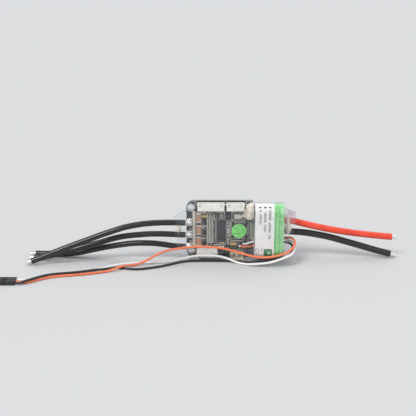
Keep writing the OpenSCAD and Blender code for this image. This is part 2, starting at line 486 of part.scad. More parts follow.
// Control wires: soldered to the board, through the gap behind the capacitors, round the
// right end and along the front to the connector
WIRE_P = [[4.2, 3.4, 8.9], [7, 3.4, 8.5], [10.5, 3.4, 8.8], [14, 3.4, 9.6], [20, 3.4, 11.6], [27, 3.4, 13.5], [31, 3, 14.3], [34.5, 2.3, 15.4],
    [37.5, 0.6, 15.9], [39.5, -2.6, 15.3], [39.5, -6.4, 13.6], [37.2, -10, 11.4], [33, -12.3, 9.3], [26, -12.6, 7.3], [19.5, -12.6, 6.4],
    [13.5, -12.4, 6.8], [8, -11.4, 7.8], [2.5, -10, 8.9], [-5, -8.6, 10.7], [-13, -7.8, 11.8], [-21, -7.6, 12.3], [-29, -7.8, 12.2],
    [-35, -8.2, 11.6], [-41, -8.7, 10.9], [-47, -9.3, 9.6], [-53, -9.8, 7], [-58.5, -10.2, 3.9], [-64, -11, 1.6], [-69.5, -13.6, 1.4],
    [-74, -18, 2.5], [-79, -21.4, 1.8], [-84, -23.4, 0.95], [-94, -27.2, 0.85], [-104, -29.8, 0.85], [-113, -31.6, 0.85], [-119, -33.8, 0.85],
    [-124.5, -37.4, 0.85], [-128.5, -40.8, 0.85], [-131.6, -42.6, 0.85], [-135, -42.7, 1], [-138.5, -41.9, 1.3]];
WIRE_S = [[6.8, 3.4, 10.2], [9, 3.4, 11], [14, 3.4, 12.7], [20, 3.4, 14.5], [27.4, 3.45, 15.6], [30.4, 4.9, 15], [33.2, 5.1, 13.9], [36, 3.4, 13.4],
    [38.4, 0, 13.3], [39.8, -4, 12.4], [39.2, -8, 10.3], [36.8, -11.7, 8.3], [33.2, -13.5, 7], [24, -13.5, 3.6], [17, -13.2, 2.4], [10, -11.6, 1.3],
    [5.5, -9.6, 0.95], [1.5, -7.2, 1], [-3.5, -5.4, 2.5], [-8, -4.4, 3.8], [-14, -3.7, 4.6], [-21, -3.5, 4.8], [-28, -3.5, 4.2], [-34.5, -3.4, 2.7],
    [-40.5, -3.8, 1.1], [-47, -5.4, 0.85], [-54, -6.6, 0.85], [-61, -7, 0.85], [-67.5, -7.4, 0.85], [-74, -9, 0.85], [-80, -12.4, 0.85],
    [-86, -16.4, 0.85], [-92, -20.8, 0.85], [-98, -25.2, 0.85], [-104, -27.9, 0.85], [-113, -29.9, 0.85], [-119, -31.9, 0.85], [-125, -35.2, 0.85],
    [-130, -38.2, 0.85], [-134.5, -39.3, 1], [-138.5, -39.4, 1.3]];
WIRE_G = [[16.3, 3.4, 8], [19, 3.4, 8.8], [23, 3.4, 10.1], [27, 3.4, 11.2], [31, 3.9, 11.9], [34.5, 3.6, 11.8],
    [37.3, 1.2, 11.6], [38.4, -2.6, 10.9], [37.8, -7, 8.9], [35.6, -10.6, 7], [33.2, -11.9, 6.3], [31, -11.95, 6.1], [24, -11.85, 5], [17, -11.8, 4],
    [10, -10.1, 2.5], [5.5, -7.8, 1.7], [1.5, -5.2, 1.3], [-3.5, -3.8, 1], [-14, -3.2, 0.85], [-24, -3.2, 0.85], [-31, -3.7, 0.85], [-37, -6, 0.85],
    [-43.5, -10.3, 0.85], [-50, -14.2, 0.85], [-56.5, -17.1, 0.85], [-62.5, -18.9, 0.85], [-67.5, -19.1, 0.85], [-73, -17.6, 0.85],
    [-79, -16.9, 0.85], [-86, -19.6, 1], [-92, -23.5, 1.9], [-98, -26.8, 2.25], [-104, -28.8, 2.2], [-113, -30.75, 2.2], [-119, -33, 2.3],
    [-124.5, -37, 2.45], [-128.5, -41, 2.45], [-132, -43.7, 2.3], [-135.3, -44.8, 1.4], [-138.5, -44.4, 1.3]];

module phase_lead_a() { color([0.06, 0.06, 0.07]) tube(route(PHASE_A, 2), phase_d, 12); }
module phase_lead_b() { color([0.06, 0.06, 0.07]) tube(route(PHASE_B, 2), phase_d, 12); }
module phase_lead_c() { color([0.06, 0.06, 0.07]) tube(route(PHASE_C, 2), phase_d, 12); }
module phase_tip_a() { color([0.85, 0.85, 0.84]) rod([-135.6, -9, 2.7], [-139.3, -9.2, 1.55], phase_tip_d); }
module phase_tip_b() { color([0.85, 0.85, 0.84]) rod([-136, 0.2, 2.1], [-139.8, 0.1, 1.6], phase_tip_d); }
module phase_tip_c() { color([0.85, 0.85, 0.84]) rod([-136.6, 8, 2.1], [-140.4, 8.2, 2], phase_tip_d); }
module battery_lead_positive() { color([0.88, 0.22, 0.15]) tube(route(BATT_P, 2), battery_d, 12); }
module battery_lead_negative() { color([0.06, 0.06, 0.07]) tube(route(BATT_N, 2), battery_d, 12); }
module battery_tip_positive() { color([0.85, 0.85, 0.84]) rod([107.3, 8, 14.1], [111.1, 8, 13.75], battery_tip_d); }
module battery_tip_negative() { color([0.85, 0.85, 0.84]) rod([106.4, 5.5, 2.8], [110.4, 5.3, 1.75], battery_tip_d); }
module servo_wire_signal() { color([0.95, 0.95, 0.95]) tube(route(WIRE_S, 2), servo_d, 8); }
module servo_wire_power() { color([0.92, 0.45, 0.30]) tube(route(WIRE_P, 2), servo_d, 8); }
module servo_wire_ground() { color([0.06, 0.06, 0.07]) tube(route(WIRE_G, 2), servo_d, 8); }
// Three way connector lying flat, its wires leaving to the right
SERVO_Y = [-39.4, -41.9, -44.4];
module servo_connector() {
    color([0.07, 0.07, 0.08]) difference() {
        union() {
            translate([-152.5, -45.8, 0]) cube([14, 7.8, 2.6]);
            translate([-150.9, -45.3, 2.6]) cube([0.6, 6.8, 0.12]);
            translate([-149.7, -45.3, 2.6]) cube([0.6, 6.8, 0.12]);
        }
        for (y = SERVO_Y) {
            translate([-153, y - 0.45, 0.85]) cube([9.5, 0.9, 0.9]);
            translate([-144, y - 0.8, 0.6]) cube([5.5, 1.6, 1.4]);
            translate([-147, y - 0.6, 1.9]) cube([3.4, 1.2, 1.5]);
            translate([-139.6, y, 1.3]) rotate([0, 90, 0]) cylinder(r = 0.85, h = 2);
        }
    }
}
module servo_contacts() {
    color([0.80, 0.66, 0.32]) for (y = SERVO_Y) difference() {
        translate([-151.4, y - 0.44, 0.86]) cube([7.4, 0.88, 0.88]);
        translate([-152, y - 0.33, 0.97]) cube([6.6, 0.66, 0.66]);
    }
}

pcb();
board_traces();
solder_pads();
phase_solder_joints();
phase_lead_cores();
shunt_resistors();
shunt_terminals();
gate_driver();
gate_driver_pins();
microcontroller();
microcontroller_pins();
chip_sticker();
comm_header();
comm_header_pins();
can_header();
can_header_pins();
sensor_header();
sensor_header_pins();
usb_shell();
usb_tongue();
crystal();
power_inductor();
small_chips();
small_chip_legs();
tantalum_capacitors();
ceramic_capacitors();
resistors();
chip_end_caps();
status_leds();
power_transistors();
transistor_tabs();
transistor_legs();
capacitor_cans();
capacitor_sleeves();
capacitor_bungs();
capacitor_leads();
power_solder_joints();
battery_lead_cores();
label();
silicone_left();
silicone_right();
glue_spot();
heat_shrink_sleeve();
phase_lead_a();
phase_lead_b();
phase_lead_c();
phase_tip_a();
phase_tip_b();
phase_tip_c();
battery_lead_positive();
battery_lead_negative();
battery_tip_positive();
battery_tip_negative();
servo_wire_signal();
servo_wire_power();
servo_wire_ground();
servo_connector();
servo_contacts();
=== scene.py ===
"""Looks for the sleeved motor speed controller: camera, leads, clear film, printed label, solder,
silicone and a material for every piece. All places are in metres, in the row frame."""

import json
import math

import bmesh
import bpy
from mathutils import Matrix, Vector, noise


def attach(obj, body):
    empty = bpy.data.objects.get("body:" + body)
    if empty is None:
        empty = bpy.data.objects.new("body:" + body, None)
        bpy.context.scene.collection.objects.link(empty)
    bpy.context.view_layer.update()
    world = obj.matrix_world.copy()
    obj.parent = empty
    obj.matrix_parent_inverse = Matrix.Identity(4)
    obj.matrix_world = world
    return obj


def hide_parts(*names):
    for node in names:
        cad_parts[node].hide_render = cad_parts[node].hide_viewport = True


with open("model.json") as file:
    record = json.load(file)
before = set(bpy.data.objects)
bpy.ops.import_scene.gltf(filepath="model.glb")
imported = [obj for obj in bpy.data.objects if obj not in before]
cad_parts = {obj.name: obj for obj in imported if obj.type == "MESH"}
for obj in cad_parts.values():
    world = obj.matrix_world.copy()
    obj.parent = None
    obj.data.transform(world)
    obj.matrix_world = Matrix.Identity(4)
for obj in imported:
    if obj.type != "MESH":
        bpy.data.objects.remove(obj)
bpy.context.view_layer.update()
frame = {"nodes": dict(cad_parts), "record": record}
nodes = frame["nodes"]
scene = bpy.context.scene
MM = 0.001


# ---------------------------------------------------------------- camera
cam_data = bpy.data.cameras.new("camera")
cam_data.sensor_width = 36.0
cam_data.lens = 65.0
cam_data.clip_start = 0.01
cam_data.clip_end = 50.0
cam = bpy.data.objects.new("camera", cam_data)
cam.location = (-0.018226, -0.48063, 0.17472)
cam.rotation_euler = (math.radians(74.0), 0.0, 0.0)
scene.collection.objects.link(cam)
scene.camera = cam
scene.view_settings.view_transform = "Standard"
scene.view_settings.look = "None"


# ---------------------------------------------------------------- small helpers
def add_mesh(name, verts, faces, smooth=True):
    """A mesh object from lists, with its faces turned outwards."""
    me = bpy.data.meshes.new(name)
    me.from_pydata([tuple(v) for v in verts], [], faces)
    bm = bmesh.new()
    bm.from_mesh(me)
    bmesh.ops.remove_doubles(bm, verts=bm.verts, dist=1e-7)
    bmesh.ops.recalc_face_normals(bm, faces=bm.faces)
    bm.to_mesh(me)
    bm.free()
    if smooth:
        me.shade_smooth()
    ob = bpy.data.objects.new(name, me)
    scene.collection.objects.link(ob)
    return ob


def place(ob, material, replaces=(), body="root"):
    """Gives a new piece its material, its body and the CAD nodes it stands for."""
    ob.data.materials.clear()
    ob.data.materials.append(getattr(material, "m", material))
    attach(ob, body)
    if replaces:
        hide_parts(*replaces)
    return ob


def apply_all(ob):
    """Replaces the object's mesh with what its modifiers make."""
    bpy.context.view_layer.update()
    dg = bpy.context.evaluated_depsgraph_get()
    me = bpy.data.meshes.new_from_object(ob.evaluated_get(dg))
    ob.modifiers.clear()
    ob.data = me
    return ob


def jig(x, y, z, scale, seed=0.0):
    """Smooth noise from -1 to 1; x, y, z in mm, scale in features per mm."""
    return noise.noise(Vector((x * scale + seed, y * scale - seed * 0.7, z * scale + seed * 1.3)))


def spline_points(p, sub):
    """The same smooth route that the CAD source draws through its points, in mm."""
    out = []
    n = len(p) - 1
    for i in range(n):
        a, b, c, d = (Vector(p[max(i - 1, 0)]), Vector(p[i]), Vector(p[min(i + 1, n)]), Vector(p[min(i + 2, n)]))
        for j in range(sub):
            u = j / sub
            out.append(0.5 * (2 * b + (c - a) * u + (2 * a - 5 * b + 4 * c - d) * u * u + (3 * b - a - 3 * c + d) * u**3))
    out.append(Vector(p[n]))
    return out


def length_of(pts):
    return sum((b - a).length for a, b in zip(pts, pts[1:]))


# ---------------------------------------------------------------- material helpers
class Mat:
    """A node material: a Principled shader with helpers for patterns in object coordinates."""

    def __init__(self, name, base, rough=0.4, metal=0.0, spec=0.5, coat=0.0, coat_rough=0.05, ior=1.5):
        self.m = bpy.data.materials.new(name)
        self.m.use_nodes = True
        self.nt = self.m.node_tree
        self.nt.nodes.clear()
        self.out = self.nt.nodes.new("ShaderNodeOutputMaterial")
        self.p = self.nt.nodes.new("ShaderNodeBsdfPrincipled")
        self.p.inputs["Base Color"].default_value = (*base, 1)
        self.p.inputs["Roughness"].default_value = rough
        self.p.inputs["Metallic"].default_value = metal
        self.p.inputs["IOR"].default_value = ior
        self.p.inputs["Specular IOR Level"].default_value = spec
        self.p.inputs["Coat Weight"].default_value = coat
        self.p.inputs["Coat Roughness"].default_value = coat_rough
        self.nt.links.new(self.p.outputs[0], self.out.inputs[0])
        self.coord = self.nt.nodes.new("ShaderNodeTexCoord")
        self.normal = None

    def new(self, kind, **inputs):
        n = self.nt.nodes.new(kind)
        for k, v in inputs.items():
            if k in ("operation", "blend_type", "data_type", "feature", "wave_type", "bands_direction", "noise_dimensions",
                     "wave_profile", "distance", "rings_direction", "interpolation_type", "clamp", "use_clamp"):
                setattr(n, k, v)
            else:
                sock = n.inputs[int(k[1:])] if k[0] == "i" and k[1:].isdigit() else n.inputs[k.replace("_", " ")]
                if hasattr(v, "is_linked") or isinstance(v, bpy.types.NodeSocket):
                    self.nt.links.new(v, sock)
                else:
                    sock.default_value = v
        return n

    def math(self, op, a, b=0.5, clamp=False, c=None):
        n = self.nt.nodes.new("ShaderNodeMath")
        n.operation = op
        n.use_clamp = clamp
        for i, v in enumerate((a, b) if c is None else (a, b, c)):
            if isinstance(v, bpy.types.NodeSocket):
                self.nt.links.new(v, n.inputs[i])
            else:
                n.inputs[i].default_value = v
        return n.outputs[0]

    def place(self, scale=(1, 1, 1), move=(0, 0, 0), turn=(0, 0, 0), source="Object"):
        n = self.nt.nodes.new("ShaderNodeMapping")
        n.inputs["Scale"].default_value = scale
        n.inputs["Location"].default_value = move
        n.inputs["Rotation"].default_value = turn
        self.nt.links.new(self.coord.outputs[source], n.inputs["Vector"])
        return n.outputs[0]

    def noise(self, scale, detail=3.0, rough=0.55, vector=None, distortion=0.0):
        n = self.nt.nodes.new("ShaderNodeTexNoise")
        n.inputs["Scale"].default_value = scale
        n.inputs["Detail"].default_value = detail
        n.inputs["Roughness"].default_value = rough
        n.inputs["Distortion"].default_value = distortion
        self.nt.links.new(vector if vector is not None else self.coord.outputs["Object"], n.inputs["Vector"])
        return n.outputs["Fac"]

    def ramp(self, value, stops):
        """stops: (position, colour or grey)."""
        n = self.nt.nodes.new("ShaderNodeValToRGB")
        r = n.color_ramp
        while len(r.elements) > 1:
            r.elements.remove(r.elements[-1])
        for i, (pos, col) in enumerate(stops):
            e = r.elements[0] if i == 0 else r.elements.new(pos)
            e.position = pos
            e.color = (*col, 1) if isinstance(col, tuple) else (col, col, col, 1)
        self.nt.links.new(value, n.inputs[0])
        return n.outputs[0]

    def mix(self, fac, a, b, blend="MIX"):
        n = self.nt.nodes.new("ShaderNodeMix")
        n.data_type = "RGBA"
        n.blend_type = blend
        for sock, v in ((n.inputs[0], fac), (n.inputs[6], a), (n.inputs[7], b)):
            if isinstance(v, bpy.types.NodeSocket):
                self.nt.links.new(v, sock)
            elif isinstance(v, (int, float)):
                sock.default_value = v
            else:
                sock.default_value = (*v, 1)
        return n.outputs[2]

    def span(self, value, low, high, from_low, from_high):
        """value mapped from one range to another, clamped."""
        n = self.nt.nodes.new("ShaderNodeMapRange")
        n.inputs["From Min"].default_value = from_low
        n.inputs["From Max"].default_value = from_high
        n.inputs["To Min"].default_value = low
        n.inputs["To Max"].default_value = high
        self.nt.links.new(value, n.inputs["Value"])
        return n.outputs["Result"]

    def axes(self, source="Object"):
        n = self.nt.nodes.new("ShaderNodeSeparateXYZ")
        self.nt.links.new(self.coord.outputs[source], n.inputs[0])
        return n.outputs[0], n.outputs[1], n.outputs[2]

    def band(self, value, low, high, soft=2e-5):
        """1 where low < value < high, with a soft edge, in metres."""
        up = self.span(value, 0, 1, low - soft, low + soft)
        down = self.span(value, 1, 0, high - soft, high + soft)
        return self.math("MULTIPLY", up, down)

    def colour(self, socket):
        self.nt.links.new(socket, self.p.inputs["Base Color"])
        return self

    def roughness(self, socket):
        self.nt.links.new(socket, self.p.inputs["Roughness"])
        return self

    def bump(self, height, strength=0.3, distance=0.00005):
        n = self.nt.nodes.new("ShaderNodeBump")
        n.inputs["Strength"].default_value = strength
        n.inputs["Distance"].default_value = distance
        self.nt.links.new(height, n.inputs["Height"])
        if self.normal is not None:
            self.nt.links.new(self.normal, n.inputs["Normal"])
        self.normal = n.outputs[0]
        self.nt.links.new(self.normal, self.p.inputs["Normal"])
        return self


def worn(name, base, rough, metal=0.0, spec=0.5, var=0.12, size=1.5, grain=6.0, bump=0.15, depth=0.00003, rough_var=0.1, coat=0.0,
         dark=None, light=None, coat_rough=0.05):
    """A plain moulded, painted or plated surface with broad colour drift, fine grain and uneven gloss.
    size and grain are features per mm."""
    m = Mat(name, base, rough, metal, spec, coat, coat_rough)
    dark = dark or tuple(c * (1 - var) for c in base)
    light = light or tuple(min(1.0, c * (1 + var) + 0.004) for c in base)
    drift = m.noise(size * 1000, 4.0, 0.6)
    fine = m.noise(grain * 1000, 2.0, 0.5)
    both = m.math("ADD", m.math("MULTIPLY", drift, 0.7), m.math("MULTIPLY", fine, 0.3))
    m.colour(m.ramp(both, [(0.32, dark), (0.5, base), (0.68, light)]))
    m.roughness(m.span(m.noise(size * 1700, 3.0, 0.6), max(0.02, rough - rough_var), min(1.0, rough + rough_var), 0.3, 0.7))
    m.bump(fine, bump, depth)
    return m


# ---------------------------------------------------------------- materials: leads
def insulation(name, base, rough, streak, spec=0.5):
    """Extruded silicone or PVC: faint lengthwise drift, dust and a soft gloss."""
    m = Mat(name, base, rough, 0.0, spec)
    dust = m.noise(900, 5.0, 0.65)
    blot = m.noise(120, 3.0, 0.5)
    dark = tuple(c * 0.82 for c in base)
    light = tuple(min(1.0, c * 1.08 + streak) for c in base)
    m.colour(m.ramp(m.math("ADD", m.math("MULTIPLY", dust, 0.5), m.math("MULTIPLY", blot, 0.5)),
                    [(0.35, dark), (0.5, base), (0.7, light)]))
    m.roughness(m.span(m.noise(260, 4.0, 0.6), rough - 0.07, rough + 0.1, 0.3, 0.7))
    m.bump(m.noise(2600, 3.0, 0.6), 0.12, 0.00003)
    return m


BLACK_LEAD = insulation("black_lead", (0.014, 0.014, 0.016), 0.24, 0.008, 0.6)
RED_LEAD = insulation("red_lead", (0.82, 0.060, 0.024), 0.24, 0.03, 0.6)
WHITE_WIRE = insulation("white_wire", (0.86, 0.86, 0.85), 0.34, 0.02)
ORANGE_WIRE = insulation("orange_wire", (0.87, 0.20, 0.085), 0.34, 0.02)
BLACK_WIRE = insulation("black_wire", (0.020, 0.020, 0.022), 0.34, 0.012)


def solder_material(name, base=(0.90, 0.90, 0.89), rough=0.30):
    m = Mat(name, base, rough, 1.0)
    flow = m.noise(900, 4.0, 0.6, distortion=0.4)
    fine = m.noise(5200, 3.0, 0.6)
    m.colour(m.ramp(flow, [(0.3, tuple(c * 0.80 for c in base)), (0.5, base), (0.75, (0.95, 0.95, 0.94))]))
    m.roughness(m.span(m.noise(1500, 4.0, 0.6), rough - 0.08, rough + 0.16, 0.3, 0.7))
    m.bump(m.math("ADD", flow, m.math("MULTIPLY", fine, 0.35)), 0.35, 0.00006)
    return m


SOLDER = solder_material("solder_bright")
TINNED = solder_material("tinned_strands", (0.84, 0.84, 0.83), 0.30)


# ---------------------------------------------------------------- leads and wires
PHASE_A = [[-33.4, 2.3, 25.9], [-41, 2.2, 26.1], [-49, 1.1, 26.4], [-57, 0, 26.3], [-64, -1, 25.8], [-74, -2.2, 24.1], [-84, -3.6, 21.2],
           [-91, -4.5, 19], [-97, -5.3, 16.9], [-107, -6.7, 13.5], [-117, -8, 9.9], [-124, -8.4, 7.1], [-130, -8.8, 4.7], [-135.6, -9, 2.7]]
PHASE_B = [[-33.4, 2.3, 17.4], [-41, 2.2, 17.8], [-49, 2, 18.2], [-57, 1.9, 18.2], [-64, 1.7, 17.8], [-74, 1.5, 16.8], [-82, 1.3, 15.2],
           [-90, 1.1, 12.8], [-98, 0.9, 10.5], [-108, 0.7, 7.9], [-118, 0.5, 5.2], [-127, 0.3, 2.9], [-136, 0.2, 2.1]]
PHASE_C = [[-33.4, 2.3, 9], [-41, 2.2, 9.5], [-48, 2.2, 10.6], [-55, 2.2, 11.4], [-62, 2.2, 11.6], [-69, 2.6, 11.3], [-76, 3.1, 10.3],
           [-83, 3.8, 9], [-90, 4.5, 7.5], [-97, 5.2, 5.8], [-104, 6, 4], [-111, 6.6, 2.7], [-119, 7.1, 2.1], [-128, 7.6, 2.1],
           [-136.6, 8, 2.1]]
BATT_P = [[28, 8.2, 25.9], [34, 8.1, 26], [39, 8, 25.6], [45, 8, 24.1], [52, 8, 22.4], [59, 8, 20.8], [66, 8, 19.4], [73, 8, 18.2],
          [81, 8, 17], [89, 8, 16], [98, 8, 15], [107.3, 8, 14.1]]
BATT_N = [[28, 8.2, 18], [34, 8.2, 18.1], [40, 8.1, 17.9], [48, 8, 17.2], [57, 8, 15.7], [66, 7.6, 13.8], [75, 7, 11.4], [84, 6.5, 8.9],
          [92, 6, 6.6], [99, 5.8, 4.6], [106.4, 5.5, 2.8]]
WIRE_P = [[4.2, 3.4, 8.9], [7, 3.4, 8.5], [10.5, 3.4, 8.8], [14, 3.4, 9.6], [20, 3.4, 11.6], [27, 3.4, 13.5], [31, 3, 14.3], [34.5, 2.3, 15.4],
          [37.5, 0.6, 15.9], [39.5, -2.6, 15.3], [39.5, -6.4, 13.6], [37.2, -10, 11.4], [33, -12.3, 9.3], [26, -12.6, 7.3], [19.5, -12.6, 6.4],
          [13.5, -12.4, 6.8], [8, -11.4, 7.8], [2.5, -10, 8.9], [-5, -8.6, 10.7], [-13, -7.8, 11.8], [-21, -7.6, 12.3], [-29, -7.8, 12.2],
          [-35, -8.2, 11.6], [-41, -8.7, 10.9], [-47, -9.3, 9.6], [-53, -9.8, 7], [-58.5, -10.2, 3.9], [-64, -11, 1.6], [-69.5, -13.6, 1.4],
          [-74, -18, 2.5], [-79, -21.4, 1.8], [-84, -23.4, 0.95], [-94, -27.2, 0.85], [-104, -29.8, 0.85], [-113, -31.6, 0.85],
          [-119, -33.8, 0.85], [-124.5, -37.4, 0.85], [-128.5, -40.8, 0.85], [-131.6, -42.6, 0.85], [-135, -42.7, 1], [-138.5, -41.9, 1.3]]
WIRE_S = [[6.8, 3.4, 10.2], [9, 3.4, 11], [14, 3.4, 12.7], [20, 3.4, 14.5], [27.4, 3.45, 15.6], [30.4, 4.9, 15], [33.2, 5.1, 13.9], [36, 3.4, 13.4],
          [38.4, 0, 13.3], [39.8, -4, 12.4], [39.2, -8, 10.3], [36.8, -11.7, 8.3], [33.2, -13.5, 7], [24, -13.5, 3.6], [17, -13.2, 2.4],
          [10, -11.6, 1.3], [5.5, -9.6, 0.95], [1.5, -7.2, 1], [-3.5, -5.4, 2.5], [-8, -4.4, 3.8], [-14, -3.7, 4.6], [-21, -3.5, 4.8],
          [-28, -3.5, 4.2], [-34.5, -3.4, 2.7], [-40.5, -3.8, 1.1], [-47, -5.4, 0.85], [-54, -6.6, 0.85], [-61, -7, 0.85],
          [-67.5, -7.4, 0.85], [-74, -9, 0.85], [-80, -12.4, 0.85], [-86, -16.4, 0.85], [-92, -20.8, 0.85], [-98, -25.2, 0.85],
          [-104, -27.9, 0.85], [-113, -29.9, 0.85], [-119, -31.9, 0.85], [-125, -35.2, 0.85], [-130, -38.2, 0.85], [-134.5, -39.3, 1],
          [-138.5, -39.4, 1.3]]
WIRE_G = [[16.3, 3.4, 8], [19, 3.4, 8.8], [23, 3.4, 10.1], [27, 3.4, 11.2], [31, 3.9, 11.9], [34.5, 3.6, 11.8],
          [37.3, 1.2, 11.6], [38.4, -2.6, 10.9], [37.8, -7, 8.9], [35.6, -10.6, 7], [33.2, -11.9, 6.3], [31, -11.95, 6.1], [24, -11.85, 5],
          [17, -11.8, 4], [10, -10.1, 2.5], [5.5, -7.8, 1.7], [1.5, -5.2, 1.3], [-3.5, -3.8, 1], [-14, -3.2, 0.85], [-24, -3.2, 0.85],
          [-31, -3.7, 0.85], [-37, -6, 0.85], [-43.5, -10.3, 0.85], [-50, -14.2, 0.85], [-56.5, -17.1, 0.85], [-62.5, -18.9, 0.85],
          [-67.5, -19.1, 0.85], [-73, -17.6, 0.85], [-79, -16.9, 0.85], [-86, -19.6, 1], [-92, -23.5, 1.9], [-98, -26.8, 2.25],
          [-104, -28.8, 2.2], [-113, -30.75, 2.2], [-119, -33, 2.3], [-124.5, -37, 2.45], [-128.5, -41, 2.45], [-132, -43.7, 2.3],
          [-135.3, -44.8, 1.4], [-138.5, -44.4, 1.3]]


def lead(name, route, dia, material, node, sides=7):
    """A round lead as a curve along its route."""
    pts = spline_points(route, 8)
    cu = bpy.data.curves.new(name, "CURVE")
    cu.dimensions = "3D"
    cu.bevel_depth = dia / 2 * MM
    cu.bevel_resolution = sides
    cu.use_fill_caps = True
    sp = cu.splines.new("POLY")
    sp.points.add(len(pts) - 1)
    for q, p in zip(sp.points, pts):
        q.co = (p.x * MM, p.y * MM, p.z * MM, 1)
    sp.use_smooth = True
    ob = bpy.data.objects.new(name, cu)
    scene.collection.objects.link(ob)
    cu.materials.append(material.m)
    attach(ob, "root")
    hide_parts(node)
    return ob, length_of(pts) * MM


def strand_tip(name, a, b, dia, node, turns=0.55, strands=11, seed=0.0):
    """The stripped end of a lead: twisted strands under solder, rounded at the end."""
    a, b = Vector(a), Vector(b)
    axis = (b - a).normalized()
    side = axis.cross(Vector((0, 0, 1))).normalized()
    up = side.cross(axis)
    full = (b - a).length
    rings, around = 34, 88
    verts, faces = [], []
    for i in range(rings + 1):
        t = i / rings
        s = full * (1 - (1 - t) ** 1.25)
        end = max(0.0, (s - (full - 0.55)) / 0.55)
        shrink = math.sqrt(max(0.0, 1 - end * end * 0.93))
        fill = 0.35 + 0.65 * min(1.0, abs(jig(s, seed, 0, 0.5)) * 1.6)
        for k in range(around):
            ang = 2 * math.pi * k / around
            groove = abs(math.sin(0.5 * strands * (ang + turns * 2 * math.pi * s / full)))
            r = dia / 2 * shrink * (0.90 + 0.10 * (groove * fill + (1 - fill)))
            r *= 1 - 0.03 * (0.5 + 0.5 * jig(math.cos(ang) * 2, math.sin(ang) * 2, s, 0.6, seed))
            verts.append((a + axis * s + side * (r * math.cos(ang)) + up * (r * math.sin(ang))) * MM)
    for i in range(rings):
        for k in range(around):
            n = (k + 1) % around
            faces.append((i * around + k, i * around + n, (i + 1) * around + n, (i + 1) * around + k))
    verts.append(a * MM)
    verts.append((b + axis * 0.0) * MM)
    first, last = len(verts) - 2, len(verts) - 1
    for k in range(around):
        n = (k + 1) % around
        faces.append((first, n, k))
        faces.append((last, rings * around + k, rings * around + n))
    return place(add_mesh(name, verts, faces), TINNED, (node,))


tip_a = strand_tip("stripped_end_a", (-135.6, -9, 2.7), (-139.3, -9.2, 1.55), 2.6, "phase_tip_a", seed=1.0)
tip_b = strand_tip("stripped_end_b", (-136, 0.2, 2.1), (-139.8, 0.1, 1.6), 2.6, "phase_tip_b", seed=4.0)
tip_c = strand_tip("stripped_end_c", (-136.6, 8, 2.1), (-140.4, 8.2, 2), 2.6, "phase_tip_c", seed=7.0)
tip_p = strand_tip("stripped_end_positive", (107.3, 8, 14.1), (111.1, 8, 13.75), 2.8, "battery_tip_positive", seed=10.0)
tip_n = strand_tip("stripped_end_negative", (106.4, 5.5, 2.8), (110.4, 5.3, 1.75), 2.8, "battery_tip_negative", seed=13.0)

LEADS = [
    ("motor_lead_a", PHASE_A, 4.0, BLACK_LEAD, "black_insulation", "phase_lead_a", "bare", "stiff", [tip_a]),
    ("motor_lead_b", PHASE_B, 4.0, BLACK_LEAD, "black_insulation", "phase_lead_b", "bare", "stiff", [tip_b]),
    ("motor_lead_c", PHASE_C, 4.0, BLACK_LEAD, "black_insulation", "phase_lead_c", "bare", "stiff", [tip_c]),
    ("supply_lead_positive", BATT_P, 4.5, RED_LEAD, "red_insulation", "battery_lead_positive", "bare", "stiff", [tip_p]),
    ("supply_lead_negative", BATT_N, 4.5, BLACK_LEAD, "black_insulation", "battery_lead_negative", "bare", "stiff", [tip_n]),
    ("control_wire_signal", WIRE_S, 1.5, WHITE_WIRE, "white_wire", "servo_wire_signal", "connector", "limp", ["servo_connector", "servo_contacts"]),
    ("control_wire_power", WIRE_P, 1.5, ORANGE_WIRE, "orange_wire", "servo_wire_power", "connector", "limp", ["servo_connector", "servo_contacts"]),
    ("control_wire_ground", WIRE_G, 1.5, BLACK_WIRE, "black_wire", "servo_wire_ground", "connector", "limp", ["servo_connector", "servo_contacts"]),
]
for name, route, dia, material, slot, node, end, stiff, pieces in LEADS:
    ob, long = lead(name, route, dia, material, node)


